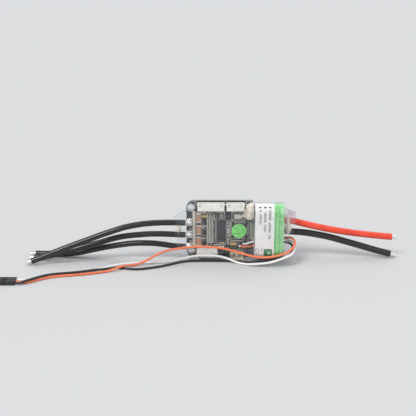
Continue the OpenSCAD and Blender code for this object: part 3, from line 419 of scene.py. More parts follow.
# ---------------------------------------------------------------- materials for the CAD nodes
def board_material():
    """Black solder mask with faint tracks under it, vias and holes."""
    m = Mat("solder_mask", (0.018, 0.019, 0.021), 0.30, 0.0, 0.5)
    warp = m.place((1000, 1000, 1000))
    drift = m.noise(0.22, 3.0, 0.6, vector=warp)
    # tracks: thin raised lines, in two directions, broken up by a coarse mask
    x, y, z = m.axes()
    jog = m.math("MULTIPLY", m.math("SUBTRACT", m.noise(0.35, 1.0, 0.4, vector=warp), 0.5), 0.0016)
    lines_a = m.math("PINGPONG", m.math("ADD", x, jog), 0.00031)
    lines_b = m.math("PINGPONG", m.math("ADD", z, jog), 0.00036)
    a = m.span(lines_a, 1, 0, 0.00007, 0.00011)
    b = m.span(lines_b, 1, 0, 0.00007, 0.00011)
    pick = m.span(m.noise(0.16, 2.0, 0.5, vector=warp), 0, 1, 0.47, 0.53)
    mask = m.span(m.noise(0.30, 2.0, 0.6, vector=m.place((1000, 1000, 1000), move=(7, 3, 11))), 0, 1, 0.44, 0.50)
    track = m.math("MULTIPLY", m.math("ADD", m.math("MULTIPLY", a, pick), m.math("MULTIPLY", b, m.math("SUBTRACT", 1.0, pick))), mask, clamp=True)
    vor = m.nt.nodes.new("ShaderNodeTexVoronoi")
    vor.inputs["Scale"].default_value = 0.62
    vor.inputs["Randomness"].default_value = 0.85
    m.nt.links.new(m.place((1000, 0, 1000)), vor.inputs["Vector"])
    via = m.span(vor.outputs["Distance"], 1, 0, 0.13, 0.17)
    hole = m.span(vor.outputs["Distance"], 1, 0, 0.05, 0.07)
    col = m.mix(m.math("MULTIPLY", track, 0.85), m.ramp(drift, [(0.3, (0.014, 0.015, 0.017)), (0.7, (0.026, 0.027, 0.030))]), (0.075, 0.078, 0.080))
    col = m.mix(m.math("MULTIPLY", via, 0.9), col, (0.46, 0.43, 0.34))
    col = m.mix(hole, col, (0.01, 0.01, 0.01))
    # the bare edge of the board shows its glass fibre
    edge = m.math("MAXIMUM", m.span(x, 1, 0, -0.03275, -0.0327), m.span(z, 1, 0, 0.00082, 0.00086))
    edge = m.math("MAXIMUM", edge, m.span(z, 0, 1, 0.04074, 0.04078))
    weave = m.noise(4200, 2.0, 0.5)
    col = m.mix(edge, col, m.ramp(weave, [(0.3, (0.16, 0.15, 0.10)), (0.7, (0.30, 0.28, 0.20))]))
    m.colour(col)
    m.roughness(m.span(m.noise(1600, 3.0, 0.6), 0.22, 0.42, 0.3, 0.7))
    m.bump(track, 0.5, 0.00004)
    m.bump(weave, 0.08, 0.00002)
    return m.m


def header_material():
    """Off-white nylon with a faint warm drift in tone and a fine grain."""
    m = Mat("header_nylon", (0.86, 0.84, 0.77), 0.42, 0.0, 0.45)
    m.p.inputs["Subsurface Weight"].default_value = 0.0
    drift = m.noise(700, 4.0, 0.6)
    fine = m.noise(7000, 2.0, 0.5)
    m.colour(m.ramp(drift, [(0.3, (0.80, 0.76, 0.66)), (0.5, (0.87, 0.855, 0.79)), (0.7, (0.92, 0.91, 0.87))]))
    m.roughness(m.span(fine, 0.34, 0.50, 0.3, 0.7))
    m.bump(fine, 0.10, 0.00002)
    return m.m


def shunt_material():
    """Copper brown coating with a satin grain across the element."""
    m = Mat("shunt_coat", (0.50, 0.26, 0.15), 0.42, 0.25, 0.5)
    grain = m.noise(1.0, 3.0, 0.6, vector=m.place((900, 900, 5200)))
    blot = m.noise(1300, 4.0, 0.6)
    m.colour(m.mix(0.4, m.ramp(grain, [(0.3, (0.34, 0.16, 0.09)), (0.5, (0.52, 0.27, 0.16)), (0.72, (0.70, 0.43, 0.30))]),
                   m.ramp(blot, [(0.35, (0.38, 0.19, 0.11)), (0.65, (0.62, 0.36, 0.24))])))
    m.roughness(m.span(blot, 0.32, 0.52, 0.3, 0.7))
    m.bump(grain, 0.2, 0.00003)
    return m.m


def ceramic_material():
    """Small ceramic capacitors, each a little different in tone."""
    m = Mat("capacitor_ceramic", (0.42, 0.33, 0.24), 0.45)
    step = m.noise(330, 0.0, 0.5)
    fine = m.noise(6000, 2.0, 0.5)
    m.colour(m.ramp(m.math("ADD", m.math("MULTIPLY", step, 0.8), m.math("MULTIPLY", fine, 0.2)),
                    [(0.35, (0.30, 0.22, 0.15)), (0.5, (0.46, 0.36, 0.26)), (0.66, (0.62, 0.52, 0.40))]))
    m.roughness(m.span(fine, 0.36, 0.55, 0.3, 0.7))
    m.bump(fine, 0.15, 0.00002)
    return m.m


def brushed(name, base, rough, direction=(1, 1, 8), scale=1400, var=0.16):
    """Plated metal with a drawn grain."""
    m = Mat(name, base, rough, 1.0)
    grain = m.noise(1.0, 3.0, 0.6, vector=m.place(tuple(scale * d for d in direction)))
    blot = m.noise(650, 4.0, 0.6)
    m.colour(m.mix(0.5, m.ramp(grain, [(0.3, tuple(c * (1 - var) for c in base)), (0.7, tuple(min(1, c * (1 + var)) for c in base))]),
                   m.ramp(blot, [(0.3, tuple(c * (1 - var) for c in base)), (0.7, tuple(min(1, c * (1 + var * 0.6)) for c in base))])))
    m.roughness(m.span(blot, rough - 0.08, rough + 0.14, 0.3, 0.7))
    m.bump(grain, 0.08, 0.00002)
    return m.m


def led_material():
    m = Mat("led_lens", (0.86, 0.86, 0.76), 0.22, 0.0, 0.5, 0.6, 0.08)
    drift = m.noise(1700, 3.0, 0.6)
    m.colour(m.ramp(drift, [(0.3, (0.78, 0.77, 0.60)), (0.7, (0.92, 0.92, 0.86))]))
    m.roughness(m.span(drift, 0.15, 0.32, 0.3, 0.7))
    return m.m


MATS = {
    "board": board_material(),
    "track": worn("track_print", (0.66, 0.63, 0.54), 0.42, 0.35, size=1.2, grain=7, var=0.16).m,
    "tin": brushed("tin_plate", (0.76, 0.76, 0.74), 0.30, (1, 1, 1), 1500),
    "solder": SOLDER.m,
    "shunt": shunt_material(),
    "chip": worn("chip_epoxy", (0.030, 0.030, 0.034), 0.50, size=0.6, grain=11, var=0.22, bump=0.28, depth=0.00002).m,
    "header": header_material(),
    "usb_metal": brushed("usb_plate", (0.93, 0.87, 0.70), 0.40, (1, 1, 6), 700, 0.08),
    "black_plastic": worn("black_moulding", (0.020, 0.020, 0.022), 0.40, size=0.5, grain=9, var=0.25, bump=0.22, depth=0.00002).m,
    "can_metal": brushed("crystal_can", (0.74, 0.71, 0.62), 0.28, (6, 1, 1), 900),
    "ferrite": worn("ferrite", (0.075, 0.076, 0.080), 0.62, size=1.4, grain=12, var=0.3, bump=0.4, depth=0.00003).m,
    "tantalum": worn("tantalum_case", (0.62, 0.42, 0.12), 0.40, size=1.0, grain=9, var=0.14).m,
    "ceramic": ceramic_material(),
    "resistor": worn("resistor_glaze", (0.035, 0.035, 0.040), 0.26, size=1.6, grain=8, var=0.25).m,
    "led": led_material(),
    "can_aluminium": brushed("drawn_can", (0.80, 0.81, 0.82), 0.30, (1, 6, 6), 500, 0.08),
    "cap_sleeve": worn("capacitor_film", (0.022, 0.026, 0.045), 0.28, size=0.4, grain=6, var=0.3).m,
    "bung": worn("rubber_bung", (0.030, 0.030, 0.030), 0.7, size=1.0, grain=9, var=0.3, bump=0.3).m,
    "contact": brushed("contact_plate", (0.82, 0.62, 0.28), 0.26, (6, 1, 1), 900),
}


def soften(node, width, segments=2, angle=35):
    """Rounds a CAD node's sharp edges a little, as moulding and wear do, without changing its mesh."""
    ob = nodes[node]
    w = ob.modifiers.new("join", "WELD")
    w.merge_threshold = 1e-6
    b = ob.modifiers.new("edges", "BEVEL")
    b.width = width * MM
    b.segments = segments
    b.limit_method = "ANGLE"
    b.angle_limit = math.radians(angle)
    b.use_clamp_overlap = True
    b.harden_normals = False
    b.miter_outer = "MITER_ARC"


for row in frame["record"]["subparts"]:
    material = MATS.get(row["material_slot"])
    if material is not None and row["node"] in nodes:
        me = nodes[row["node"]].data
        me.materials.clear()
        me.materials.append(material)

for node, width in (
    ("gate_driver", 0.10), ("microcontroller", 0.10), ("small_chips", 0.07), ("power_transistors", 0.15), ("comm_header", 0.12),
    ("can_header", 0.12), ("sensor_header", 0.12), ("usb_shell", 0.16), ("usb_tongue", 0.08), ("crystal", 0.18), ("power_inductor", 0.20),
    ("tantalum_capacitors", 0.10), ("ceramic_capacitors", 0.06), ("resistors", 0.05), ("chip_end_caps", 0.08), ("status_leds", 0.12),
    ("shunt_resistors", 0.09), ("shunt_terminals", 0.12), ("servo_connector", 0.18), ("servo_contacts", 0.05), ("transistor_tabs", 0.08),
    ("comm_header_pins", 0.06), ("can_header_pins", 0.06), ("sensor_header_pins", 0.06),
):
    soften(node, width)


# ---------------------------------------------------------------- solder, silicone and glue
def lump(name, balls, material, replaces, voxel=0.22, smooth=8, rough_amp=0.06, rough_scale=0.9, seed=0.0, keep=None):
    """A soft blob that joins round drops: (centre, radius, stretch), in mm. keep(p) gives the nearest allowed place for a point."""
    bm = bmesh.new()
    for centre, radius, stretch in balls:
        made = bmesh.ops.create_icosphere(bm, subdivisions=4, radius=radius)
        m = Matrix.Translation(Vector(centre)) @ Matrix.Diagonal((*stretch, 1))
        bmesh.ops.transform(bm, matrix=m, verts=made["verts"])
    me = bpy.data.meshes.new(name)
    bm.to_mesh(me)
    bm.free()
    ob = bpy.data.objects.new(name, me)
    scene.collection.objects.link(ob)
    r = ob.modifiers.new("join", "REMESH")
    r.mode = "VOXEL"
    r.voxel_size = voxel
    s = ob.modifiers.new("flow", "SMOOTH")
    s.factor = 0.5
    s.iterations = smooth
    apply_all(ob)
    me = ob.data
    me.update()
    moved = []
    for v in me.vertices:
        p = v.co.copy()
        n = v.normal
        h = rough_amp * (jig(p.x, p.y, p.z, rough_scale, seed) + 0.5 * jig(p.x, p.y, p.z, rough_scale * 2.3, seed + 5))
        p = p + n * h
        if keep is not None:
            p = keep(p)
        moved.append(p * MM)
    for v, p in zip(me.vertices, moved):
        v.co = p
    me.update()
    me.shade_smooth()
    return place(ob, material, replaces)


def silicone_material():
    """Cream neutral-cure silicone: soft sheen, slight depth, faint bubbles."""
    m = Mat("silicone_cream", (0.86, 0.78, 0.66), 0.38, 0.0, 0.45)
    m.p.inputs["Subsurface Weight"].default_value = 0.25
    m.p.inputs["Subsurface Radius"].default_value = (0.0012, 0.0008, 0.0005)
    m.p.inputs["Subsurface Scale"].default_value = 1.0
    drift = m.noise(420, 4.0, 0.6)
    m.colour(m.ramp(drift, [(0.3, (0.76, 0.66, 0.53)), (0.5, (0.87, 0.79, 0.67)), (0.72, (0.93, 0.88, 0.79))]))
    m.roughness(m.span(m.noise(900, 3.0, 0.6), 0.28, 0.50, 0.3, 0.7))
    m.bump(m.noise(1500, 3.0, 0.6), 0.25, 0.00006)
    return m


SILICONE = silicone_material()

pf = 4.3
joints = []
for z in (25.9, 17.4, 9.0):
    joints += [((-31.7, 3.0, z + 0.5), 1.25, (1.05, 0.95, 1.55)), ((-29.6, 3.2, z - 0.8), 1.3, (0.85, 0.85, 1.45)),
               ((-30.7, 2.35, z - 0.1), 1.55, (1.1, 0.95, 1.1)), ((-30.2, 3.5, z + 1.9), 0.85, (1.2, 0.8, 0.8)),
               ((-31.6, 3.5, z - 2.0), 0.75, (1.0, 0.8, 0.9))]
lump("solder_motor_side", joints, SOLDER.m, ("phase_solder_joints",), voxel=0.13, smooth=5, rough_amp=0.10, rough_scale=1.2, seed=2.0,
     keep=lambda p: Vector((p.x, min(p.y, pf - 0.065), p.z)))
joints = []
for z in (25.9, 18.0):
    joints += [((21.2, 7.2, z), 1.15, (1, 0.9, 1.6)), ((25.4, 7.2, z), 1.15, (1, 0.9, 1.65)), ((23.4, 8.0, z), 1.75, (1.25, 1, 1))]
for x, z in ((3.4, 8.9), (6.0, 10.2), (15.5, 8.0)):
    joints.append(((x, 4.15, z), 0.95, (1, 0.9, 1)))


def off_board(p):
    """Keeps solder out of the board's thickness."""
    if p.y > 5.1:
        return Vector((p.x, max(p.y, 5.98), p.z))
    return Vector((p.x, min(p.y, pf - 0.005), p.z))


lump("solder_supply_side", joints, SOLDER.m, ("power_solder_joints",), voxel=0.13, smooth=5, rough_amp=0.08, rough_scale=1.2, seed=9.0,
     keep=off_board)
lump("silicone_by_capacitors",
     [((10.7, 0.6, 37.9), 2.3, (1.0, 1.1, 1.1)), ((10.5, 0.3, 34.8), 2.6, (1.0, 1.0, 1.3)), ((10.2, 0.7, 31.4), 2.6, (1.0, 1.1, 1.2)),
      ((8.9, 2.3, 36.6), 2.0, (1.0, 1.0, 1.2)), ((8.2, 2.4, 33.4), 2.4, (1.1, 0.9, 1.1)), ((6.9, 3.0, 31.2), 1.9, (1.3, 0.8, 1.0)),
      ((5.2, 3.5, 30.3), 1.3, (1.4, 0.8, 0.9)), ((9.4, 2.2, 29.6), 2.0, (1.2, 0.9, 1.0))],
     SILICONE.m, ("silicone_left",), voxel=0.2, smooth=12, rough_amp=0.16, rough_scale=0.32, seed=21.0,
     keep=lambda p: Vector((min(p.x, 12.72), min(p.y, 4.22), min(p.z, 40.6))))


def right_side(p):
    """Keeps the right-hand silicone off the capacitors' leads and under the film."""
    return Vector((max(p.x, 33.4), p.y, p.z))


lump("silicone_by_supply_leads",
     [((34.6, 0.6, 31.4), 1.15, (0.9, 1.0, 1.3)), ((34.9, 0.4, 28.4), 1.6, (0.9, 1.1, 1.5)), ((35.1, 0.3, 25.2), 2.1, (0.9, 1.1, 1.2)),
      ((35.5, 0.5, 22.4), 2.4, (0.95, 1.0, 1.1)), ((35.1, 0.9, 20.4), 1.9, (1.0, 1.0, 1.0))],
     SILICONE.m, ("silicone_right",), voxel=0.16, smooth=10, rough_amp=0.16, rough_scale=0.45, seed=33.0, keep=right_side)
lump("glue_by_motor_leads", [((-38.1, 1.4, 22.2), 1.45, (1, 1, 1.15)), ((-37.6, 2.7, 21.2), 1.45, (1, 1.05, 1)), ((-38.3, 1.8, 20.2), 0.9, (1, 1, 1.1))],
     SILICONE.m, ("glue_spot",), voxel=0.16, smooth=5, rough_amp=0.12, rough_scale=0.8, seed=41.0)


# ---------------------------------------------------------------- capacitor label
def label_material():
    """Printed label: white part, green part, dots, and columns of meaningless marks."""
    m = Mat("label_print", (0.86, 0.85, 0.85), 0.34, 0.0, 0.45, 0.2, 0.12)
    x, y, z = m.axes()
    front = m.span(y, 1, 0, -0.0080, -0.0076)
    paper = m.ramp(m.noise(260, 4.0, 0.6), [(0.3, (0.82, 0.80, 0.79)), (0.7, (0.88, 0.87, 0.865))])
    # painted reflection: the lower part of the label is tinted pink for the orange wire that runs in front of it
    low = m.span(z, 1, 0, 0.0125, 0.0185)
    paper = m.mix(m.math("MULTIPLY", low, 0.5), paper, (0.86, 0.74, 0.74))
    green = m.ramp(m.noise(300, 4.0, 0.6), [(0.3, (0.105, 0.46, 0.105)), (0.7, (0.15, 0.56, 0.145))])
    pale = m.span(m.noise(1.0, 2.0, 0.5, vector=m.place((520, 300, 90))), 0, 0.30, 0.45, 0.62)
    green = m.mix(pale, green, (0.36, 0.72, 0.34))
    # painted highlight: the green is made lighter along the top of the label, where its rounded edge faces the light
    green = m.mix(m.span(z, 0, 0.35, 0.0362, 0.0372), green, (0.42, 0.86, 0.42))
    col = m.mix(m.span(x, 0, 1, 0.02534, 0.02540), paper, green)

    def marks(at, half, low, high, density, wide, tall, seed, skip=0.42):
        """A column of small broken blocks that only looks like print from afar."""
        inside = m.math("MULTIPLY", m.band(x, at - half, at + half, 5e-5), m.band(z, low, high))
        v = m.place((1.0 / wide, 0, 1.0 / tall), move=(seed, 0, seed * 1.7))
        words = m.span(m.noise(0.22, 0.0, 0.5, vector=m.place((0, 0, 1.0 / tall), move=(0, 0, seed * 2.3))), 0, 1, skip, skip + 0.02)
        ink = m.span(m.noise(1.0, 1.0, 0.5, vector=v), 0, 1, density, density + 0.03)
        return m.math("MULTIPLY", m.math("MULTIPLY", inside, words), ink)

    ink = None
    for at, half, lo, hi, den, seed in (
        (0.01620, 0.00070, 0.0287, 0.0384, 0.455, 3.0), (0.01920, 0.00075, 0.0237, 0.0366, 0.450, 8.0), (0.02235, 0.00085, 0.0185, 0.0382, 0.450, 13.0),
    ):
        k = marks(at, half, lo, hi, den, 0.00052, 0.00062, seed)
        ink = k if ink is None else m.math("MAXIMUM", ink, k)
    col = m.mix(m.math("MULTIPLY", m.math("MULTIPLY", ink, front), 0.80), col, (0.10, 0.095, 0.09))
    light = marks(0.03045, 0.00120, 0.0080, 0.0392, 0.47, 0.0011, 0.0013, 23.0, 0.36)
    light = m.math("MAXIMUM", light, marks(0.02760, 0.00085, 0.0090, 0.0362, 0.47, 0.0008, 0.0009, 31.0, 0.36))
    col = m.mix(m.math("MULTIPLY", m.math("MULTIPLY", light, front), 0.62), col, (0.66, 0.86, 0.60))
    deep = marks(0.02930, 0.00150, 0.0100, 0.0340, 0.52, 0.0009, 0.0016, 47.0, 0.45)
    col = m.mix(m.math("MULTIPLY", m.math("MULTIPLY", deep, front), 0.45), col, (0.05, 0.30, 0.07))
    for at in (0.01597, 0.01926, 0.02254):
        dx = m.math("MULTIPLY", m.math("SUBTRACT", x, at), 0.80)
        dz = m.math("SUBTRACT", z, 0.0397)
        d = m.math("SQRT", m.math("ADD", m.math("MULTIPLY", dx, dx), m.math("MULTIPLY", dz, dz)))
        col = m.mix(m.math("MULTIPLY", m.span(d, 1, 0, 0.00056, 0.00066), front), col, (0.015, 0.015, 0.015))
    # generic marks near the lower edge: a ring, a short bar and a framed green panel
    dx = m.math("SUBTRACT", x, 0.0143)
    dz = m.math("SUBTRACT", z, 0.0106)
    d = m.math("SQRT", m.math("ADD", m.math("MULTIPLY", dx, dx), m.math("MULTIPLY", dz, dz)))
    ring = m.math("MULTIPLY", m.span(d, 0, 1, 0.00085, 0.00095), m.span(d, 1, 0, 0.00128, 0.00138))
    ring = m.math("MAXIMUM", ring, m.math("MULTIPLY", m.band(x, 0.01345, 0.01520), m.band(z, 0.0074, 0.0081)))
    col = m.mix(m.math("MULTIPLY", m.math("MULTIPLY", ring, front), 0.85), col, (0.07, 0.08, 0.075))
    bar = m.math("MULTIPLY", m.band(x, 0.0171, 0.0178), m.band(z, 0.0100, 0.0125))
    col = m.mix(m.math("MULTIPLY", bar, 0.7), col, (0.08, 0.22, 0.10))
    panel = m.math("MULTIPLY", m.band(x, 0.0186, 0.0241), m.band(z, 0.0066, 0.0116))
    inner = m.math("MULTIPLY", m.band(x, 0.0212, 0.0229), m.band(z, 0.0078, 0.0099))
    col = m.mix(m.math("MULTIPLY", panel, front), col, (0.045, 0.22, 0.075))
    col = m.mix(m.math("MULTIPLY", m.math("MULTIPLY", inner, front), 0.85), col, (0.62, 0.78, 0.60))
    m.colour(col)
    m.roughness(m.span(m.noise(700, 3.0, 0.6), 0.26, 0.44, 0.3, 0.7))
    m.bump(m.noise(900, 3.0, 0.6), 0.12, 0.00004)
    return m.m


def stadium(r, half, arc=20, flat=26):
    """Points (y, z) around a stadium with its long axis along z."""
    pts = []
    for i in range(flat):
        pts.append((-r, half - 2 * half * i / flat))
    for i in range(arc):
        a = math.pi + math.pi * i / arc
        pts.append((r * math.cos(a), -half + r * math.sin(a)))
    for i in range(flat):
        pts.append((r, -half + 2 * half * i / flat))
    for i in range(arc):
        a = math.pi * i / arc
        pts.append((r * math.cos(a), half + r * math.sin(a)))
    return pts


def make_label():
    """The label as one wrapped sheet that dips a little between the capacitors and lifts at its edges."""
    cy, cz, pitch = -3.95, 22.1, 12.6
    x0, x1, cols = 12.8, 31.8, 40
    outer, inner = stadium(6.5, pitch), stadium(6.285, pitch)
    n = len(outer)
    verts, faces = [], []
    for ring, skin in ((outer, 0), (inner, 1)):
        for i in range(cols + 1):
            x = x0 + (x1 - x0) * i / cols
            for y, z in ring:
                # straight sides dip between the three round cans
                between = 0.0
                if abs(z) < pitch:
                    between = math.sin(math.pi * (abs(z) % pitch) / pitch) ** 2
                side = 1.0 if y < 0 else -1.0
                dip = 0.14 * between * side * (0.6 + 0.4 * math.sin(math.pi * i / cols))
                wave = 0.03 * jig(x, y, z, 0.35, 4.0) if skin == 0 else 0.0
                dy = min(0.2, dip) * 0.9 if skin == 0 else 0.0
                verts.append((x * MM, (cy + y + dy - wave * side * 0.5) * MM, (cz + z) * MM))
    off = (cols + 1) * n
    for i in range(cols):
        for k in range(n):
            a, b = i * n + k, i * n + (k + 1) % n
            faces.append((a, b, b + n, a + n))
            a, b = off + a, off + b
            faces.append((a, a + n, b + n, b))
    for k in range(n):
        b = (k + 1) % n
        faces.append((k, off + k, off + b, b))
        faces.append((cols * n + k, cols * n + b, off + cols * n + b, off + cols * n + k))
    ob = add_mesh("printed_label", verts, faces)
    ob.data.set_sharp_from_angle(angle=math.radians(50))
    return place(ob, label_material(), ("label",))


make_label()


# ---------------------------------------------------------------- round paper sticker on the big chip
def sticker_material():
    m = Mat("sticker_paper", (0.33, 0.83, 0.30), 0.50, 0.0, 0.4)
    x, y, z = m.axes()
    paper = m.ramp(m.noise(900, 4.0, 0.6), [(0.3, (0.20, 0.76, 0.17)), (0.7, (0.30, 0.86, 0.26))])
    fibre = m.noise(5200, 2.0, 0.5)
    # pen-like squiggles that mean nothing
    v = m.place((1000, 1000, 1000), turn=(0, math.radians(38), 0))
    w = m.nt.nodes.new("ShaderNodeTexWave")
    w.wave_type = "RINGS"
    w.rings_direction = "Y"
    w.inputs["Scale"].default_value = 0.17
    w.inputs["Distortion"].default_value = 9.0
    w.inputs["Detail"].default_value = 2.0
    w.inputs["Detail Scale"].default_value = 0.55
    m.nt.links.new(v, w.inputs["Vector"])
    stroke = m.span(w.outputs["Fac"], 0, 1, 0.74, 0.84)
    broken = m.span(m.noise(420, 2.0, 0.5), 0, 1, 0.42, 0.50)
    dx = m.math("SUBTRACT", x, 0.0027)
    dz = m.math("SUBTRACT", z, 0.0200)
    d = m.math("SQRT", m.math("ADD", m.math("MULTIPLY", dx, dx), m.math("MULTIPLY", dz, dz)))
    inside = m.span(d, 1, 0, 0.0038, 0.0042)
    ink = m.math("MULTIPLY", m.math("MULTIPLY", stroke, broken), inside)
    col = m.mix(m.math("MULTIPLY", ink, 0.85), paper, (0.05, 0.30, 0.06))
    col = m.mix(m.math("MULTIPLY", m.span(d, 0, 1, 0.0047, 0.0050), 0.35), col, (0.14, 0.50, 0.12))
    m.colour(col)
    m.roughness(m.span(fibre, 0.42, 0.60, 0.3, 0.7))
    m.bump(fibre, 0.2, 0.00003)
    return m.m


def make_sticker():
    """A punched paper disc whose rim lifts slightly."""
    cx, cz, base = 2.7, 20.0, 4.3 - 0.06 - 1.47
    rings, around, thick = 14, 96, 0.13
    verts, faces = [], []
    for skin in (0, 1):
        verts.append((cx * MM, (base - (thick if skin == 0 else 0.0)) * MM, cz * MM))
        for i in range(1, rings + 1):
            r = 5.0 * i / rings
            for k in range(around):
                a = 2 * math.pi * k / around
                px, pz = cx + r * math.cos(a), cz + r * math.sin(a)
                lift = 0.10 * max(0.0, (r - 4.2) / 0.8) ** 2 * (0.5 + 0.5 * math.sin(2 * a + 0.6)) + 0.015 * jig(px, 0, pz, 0.5, 3.0)
                wall = thick - (0.03 if i == rings and skin == 0 else 0.0)
                verts.append((px * MM, (base - (wall if skin == 0 else 0.0) - max(0.0, lift)) * MM, pz * MM))
    off = 1 + rings * around
    for skin in (0, 1):
        o = skin * off
        for k in range(around):
            n = (k + 1) % around
            faces.append((o, o + 1 + k, o + 1 + n))
            for i in range(rings - 1):
                a, b = o + 1 + i * around + k, o + 1 + i * around + n
                faces.append((a, b, b + around, a + around))
    for k in range(around):
        n = (k + 1) % around
        e = 1 + (rings - 1) * around
        faces.append((e + k, e + n, off + e + n, off + e + k))
    ob = add_mesh("round_sticker", verts, faces)
    ob.data.set_sharp_from_angle(angle=math.radians(50))
    return place(ob, sticker_material(), ("chip_sticker",))


make_sticker()


# ---------------------------------------------------------------- print on the board
def frame_box(verts, faces, x0, z0, x1, z1, line, y0, y1):
    """A rectangular outline as a closed flat frame."""
    o = len(verts)
    for y in (y0, y1):
        for a, b in ((x0, z0), (x1, z0), (x1, z1), (x0, z1)):
            verts.append((a * MM, y * MM, b * MM))
        for a, b in ((x0 + line, z0 + line), (x1 - line, z0 + line), (x1 - line, z1 - line), (x0 + line, z1 - line)):
            verts.append((a * MM, y * MM, b * MM))
    for k in range(4):
        n = (k + 1) % 4
        faces.append((o + k, o + n, o + 4 + n, o + 4 + k))
        faces.append((o + 8 + k, o + 12 + k, o + 12 + n, o + 8 + n))
        faces.append((o + k, o + 8 + k, o + 8 + n, o + n))
        faces.append((o + 4 + k, o + 4 + n, o + 12 + n, o + 12 + k))


def bar_box(verts, faces, x0, z0, x1, z1, y0, y1):
    o = len(verts)
    for y in (y0, y1):
        for a, b in ((x0, z0), (x1, z0), (x1, z1), (x0, z1)):
            verts.append((a * MM, y * MM, b * MM))
    faces += [(o, o + 1, o + 2, o + 3), (o + 7, o + 6, o + 5, o + 4)]
    for k in range(4):
        n = (k + 1) % 4
        faces.append((o + k, o + 4 + k, o + 4 + n, o + n))


def make_print():
    """Thin ink outlines and bars beside the parts."""
    verts, faces = [], []
    y0, y1 = pf - 0.032, pf - 0.002
    for x0, z0, x1, z1, line in (
        (-13.3, 12.3, -5.15, 27.25, 0.13), (-3.0, 13.95, 9.25, 26.2, 0.13), (-8.2, 27.6, -1.1, 32.95, 0.12),
        (-23.3, 24.85, -17.95, 28.5, 0.11), (-23.3, 16.85, -17.95, 20.4, 0.11), (-23.3, 8.95, -17.95, 12.35, 0.11),
        (-1.2, 28.05, 4.9, 31.7, 0.12), (7.0, 2.05, 13.0, 8.3, 0.13), (-3.2, 0.95, 6.2, 6.4, 0.12), (-3.3, 9.4, 0.9, 11.75, 0.11),
    ):
        frame_box(verts, faces, x0, z0, x1, z1, line, y0, y1)
    for x0, z0, x1, z1 in (
        (-14.35, 12.6, -14.1, 13.9), (-14.35, 14.6, -14.1, 16.4), (-14.35, 17.0, -14.1, 18.0), (-14.35, 22.6, -14.1, 24.3),
        (9.55, 14.2, 9.75, 15.8), (9.55, 24.2, 9.75, 25.8), (-24.9, 33.3, -8.6, 33.5), (-5.5, 33.3, 5.9, 33.5),
        (-24.8, 7.25, -12.9, 7.4), (-27.2, 35.0, -26.9, 39.0), (7.2, 36.2, 7.5, 39.9), (11.6, 10.5, 11.85, 14.5),
        (11.6, 27.0, 11.85, 28.6), (-25.8, 1.4, -25.6, 5.2), (-11.6, 1.4, -11.4, 5.2),
    ):
        bar_box(verts, faces, x0, z0, x1, z1, y0, y1)
    ob = add_mesh("board_print", verts, faces, smooth=False)
    ink = worn("white_ink", (0.74, 0.73, 0.68), 0.55, size=1.3, grain=9, var=0.12)
    return place(ob, ink.m)


make_print()


def make_specks():
    """Solder specks, test pads and the smallest parts, scattered on a fixed grid between the larger ones."""
    regions = ((-23.4, 28.9, -14.6, 33.0, 0.42), (-23.4, 20.9, -14.7, 24.4, 0.62), (-23.4, 12.8, -14.7, 16.5, 0.62), (-17.6, 11.8, -14.7, 28.4, 0.50),
               (-13.0, 27.9, -8.6, 33.2, 0.55), (-4.8, 26.7, 9.4, 27.9, 0.60), (-4.8, 11.9, 9.6, 13.5, 0.60), (-4.9, 14.0, -3.4, 26.4, 0.55),
               (-11.2, 1.3, -4.0, 8.2, 0.36), (7.0, 1.6, 12.0, 10.0, 0.40), (-23.2, 8.9, -13.8, 11.9, 0.52), (-1.2, 32.2, 6.0, 33.4, 0.60),
               (9.8, 12.0, 12.0, 26.8, 0.30), (-30.6, 28.4, -27.6, 32.6, 0.40))
    pads, chips = ([], []), ([], [])
    for x0, z0, x1, z1, share in regions:
        i = 0
        z = z0
        while z < z1:
            x = x0
            while x < x1:
                i += 1
                roll = 0.5 + 0.5 * jig(x * 3.1, 0.0, z * 2.7, 1.9, 3.0 + share)
                other = 0.5 + 0.5 * jig(x * 2.3, 4.0, z * 3.3, 2.3, 9.0)
                if roll > 1 - share:
                    w, h = (0.50, 0.30) if other > 0.5 else (0.30, 0.50)
                    ax, az = x + 0.12 * other, z + 0.10 * roll
                    if other > 0.62 or other < 0.34:
                        bar_box(chips[0], chips[1], ax, az, ax + w, az + h, pf - 0.22, pf - 0.002)
                        if w > h:
                            bar_box(pads[0], pads[1], ax - 0.17, az - 0.01, ax - 0.01, az + h + 0.01, pf - 0.20, pf - 0.002)
                            bar_box(pads[0], pads[1], ax + w + 0.01, az - 0.01, ax + w + 0.17, az + h + 0.01, pf - 0.20, pf - 0.002)
                        else:
                            bar_box(pads[0], pads[1], ax - 0.01, az - 0.17, ax + w + 0.01, az - 0.01, pf - 0.20, pf - 0.002)
                            bar_box(pads[0], pads[1], ax - 0.01, az + h + 0.01, ax + w + 0.01, az + h + 0.17, pf - 0.20, pf - 0.002)
                    else:
                        bar_box(pads[0], pads[1], ax, az, ax + w * 0.8, az + h * 0.8, pf - 0.05, pf - 0.002)
                x += 1.02
            z += 0.92
    place(add_mesh("specks_tin", pads[0], pads[1], smooth=False), MATS["tin"])
    place(add_mesh("specks_ceramic", chips[0], chips[1], smooth=False), MATS["ceramic"])


make_specks()


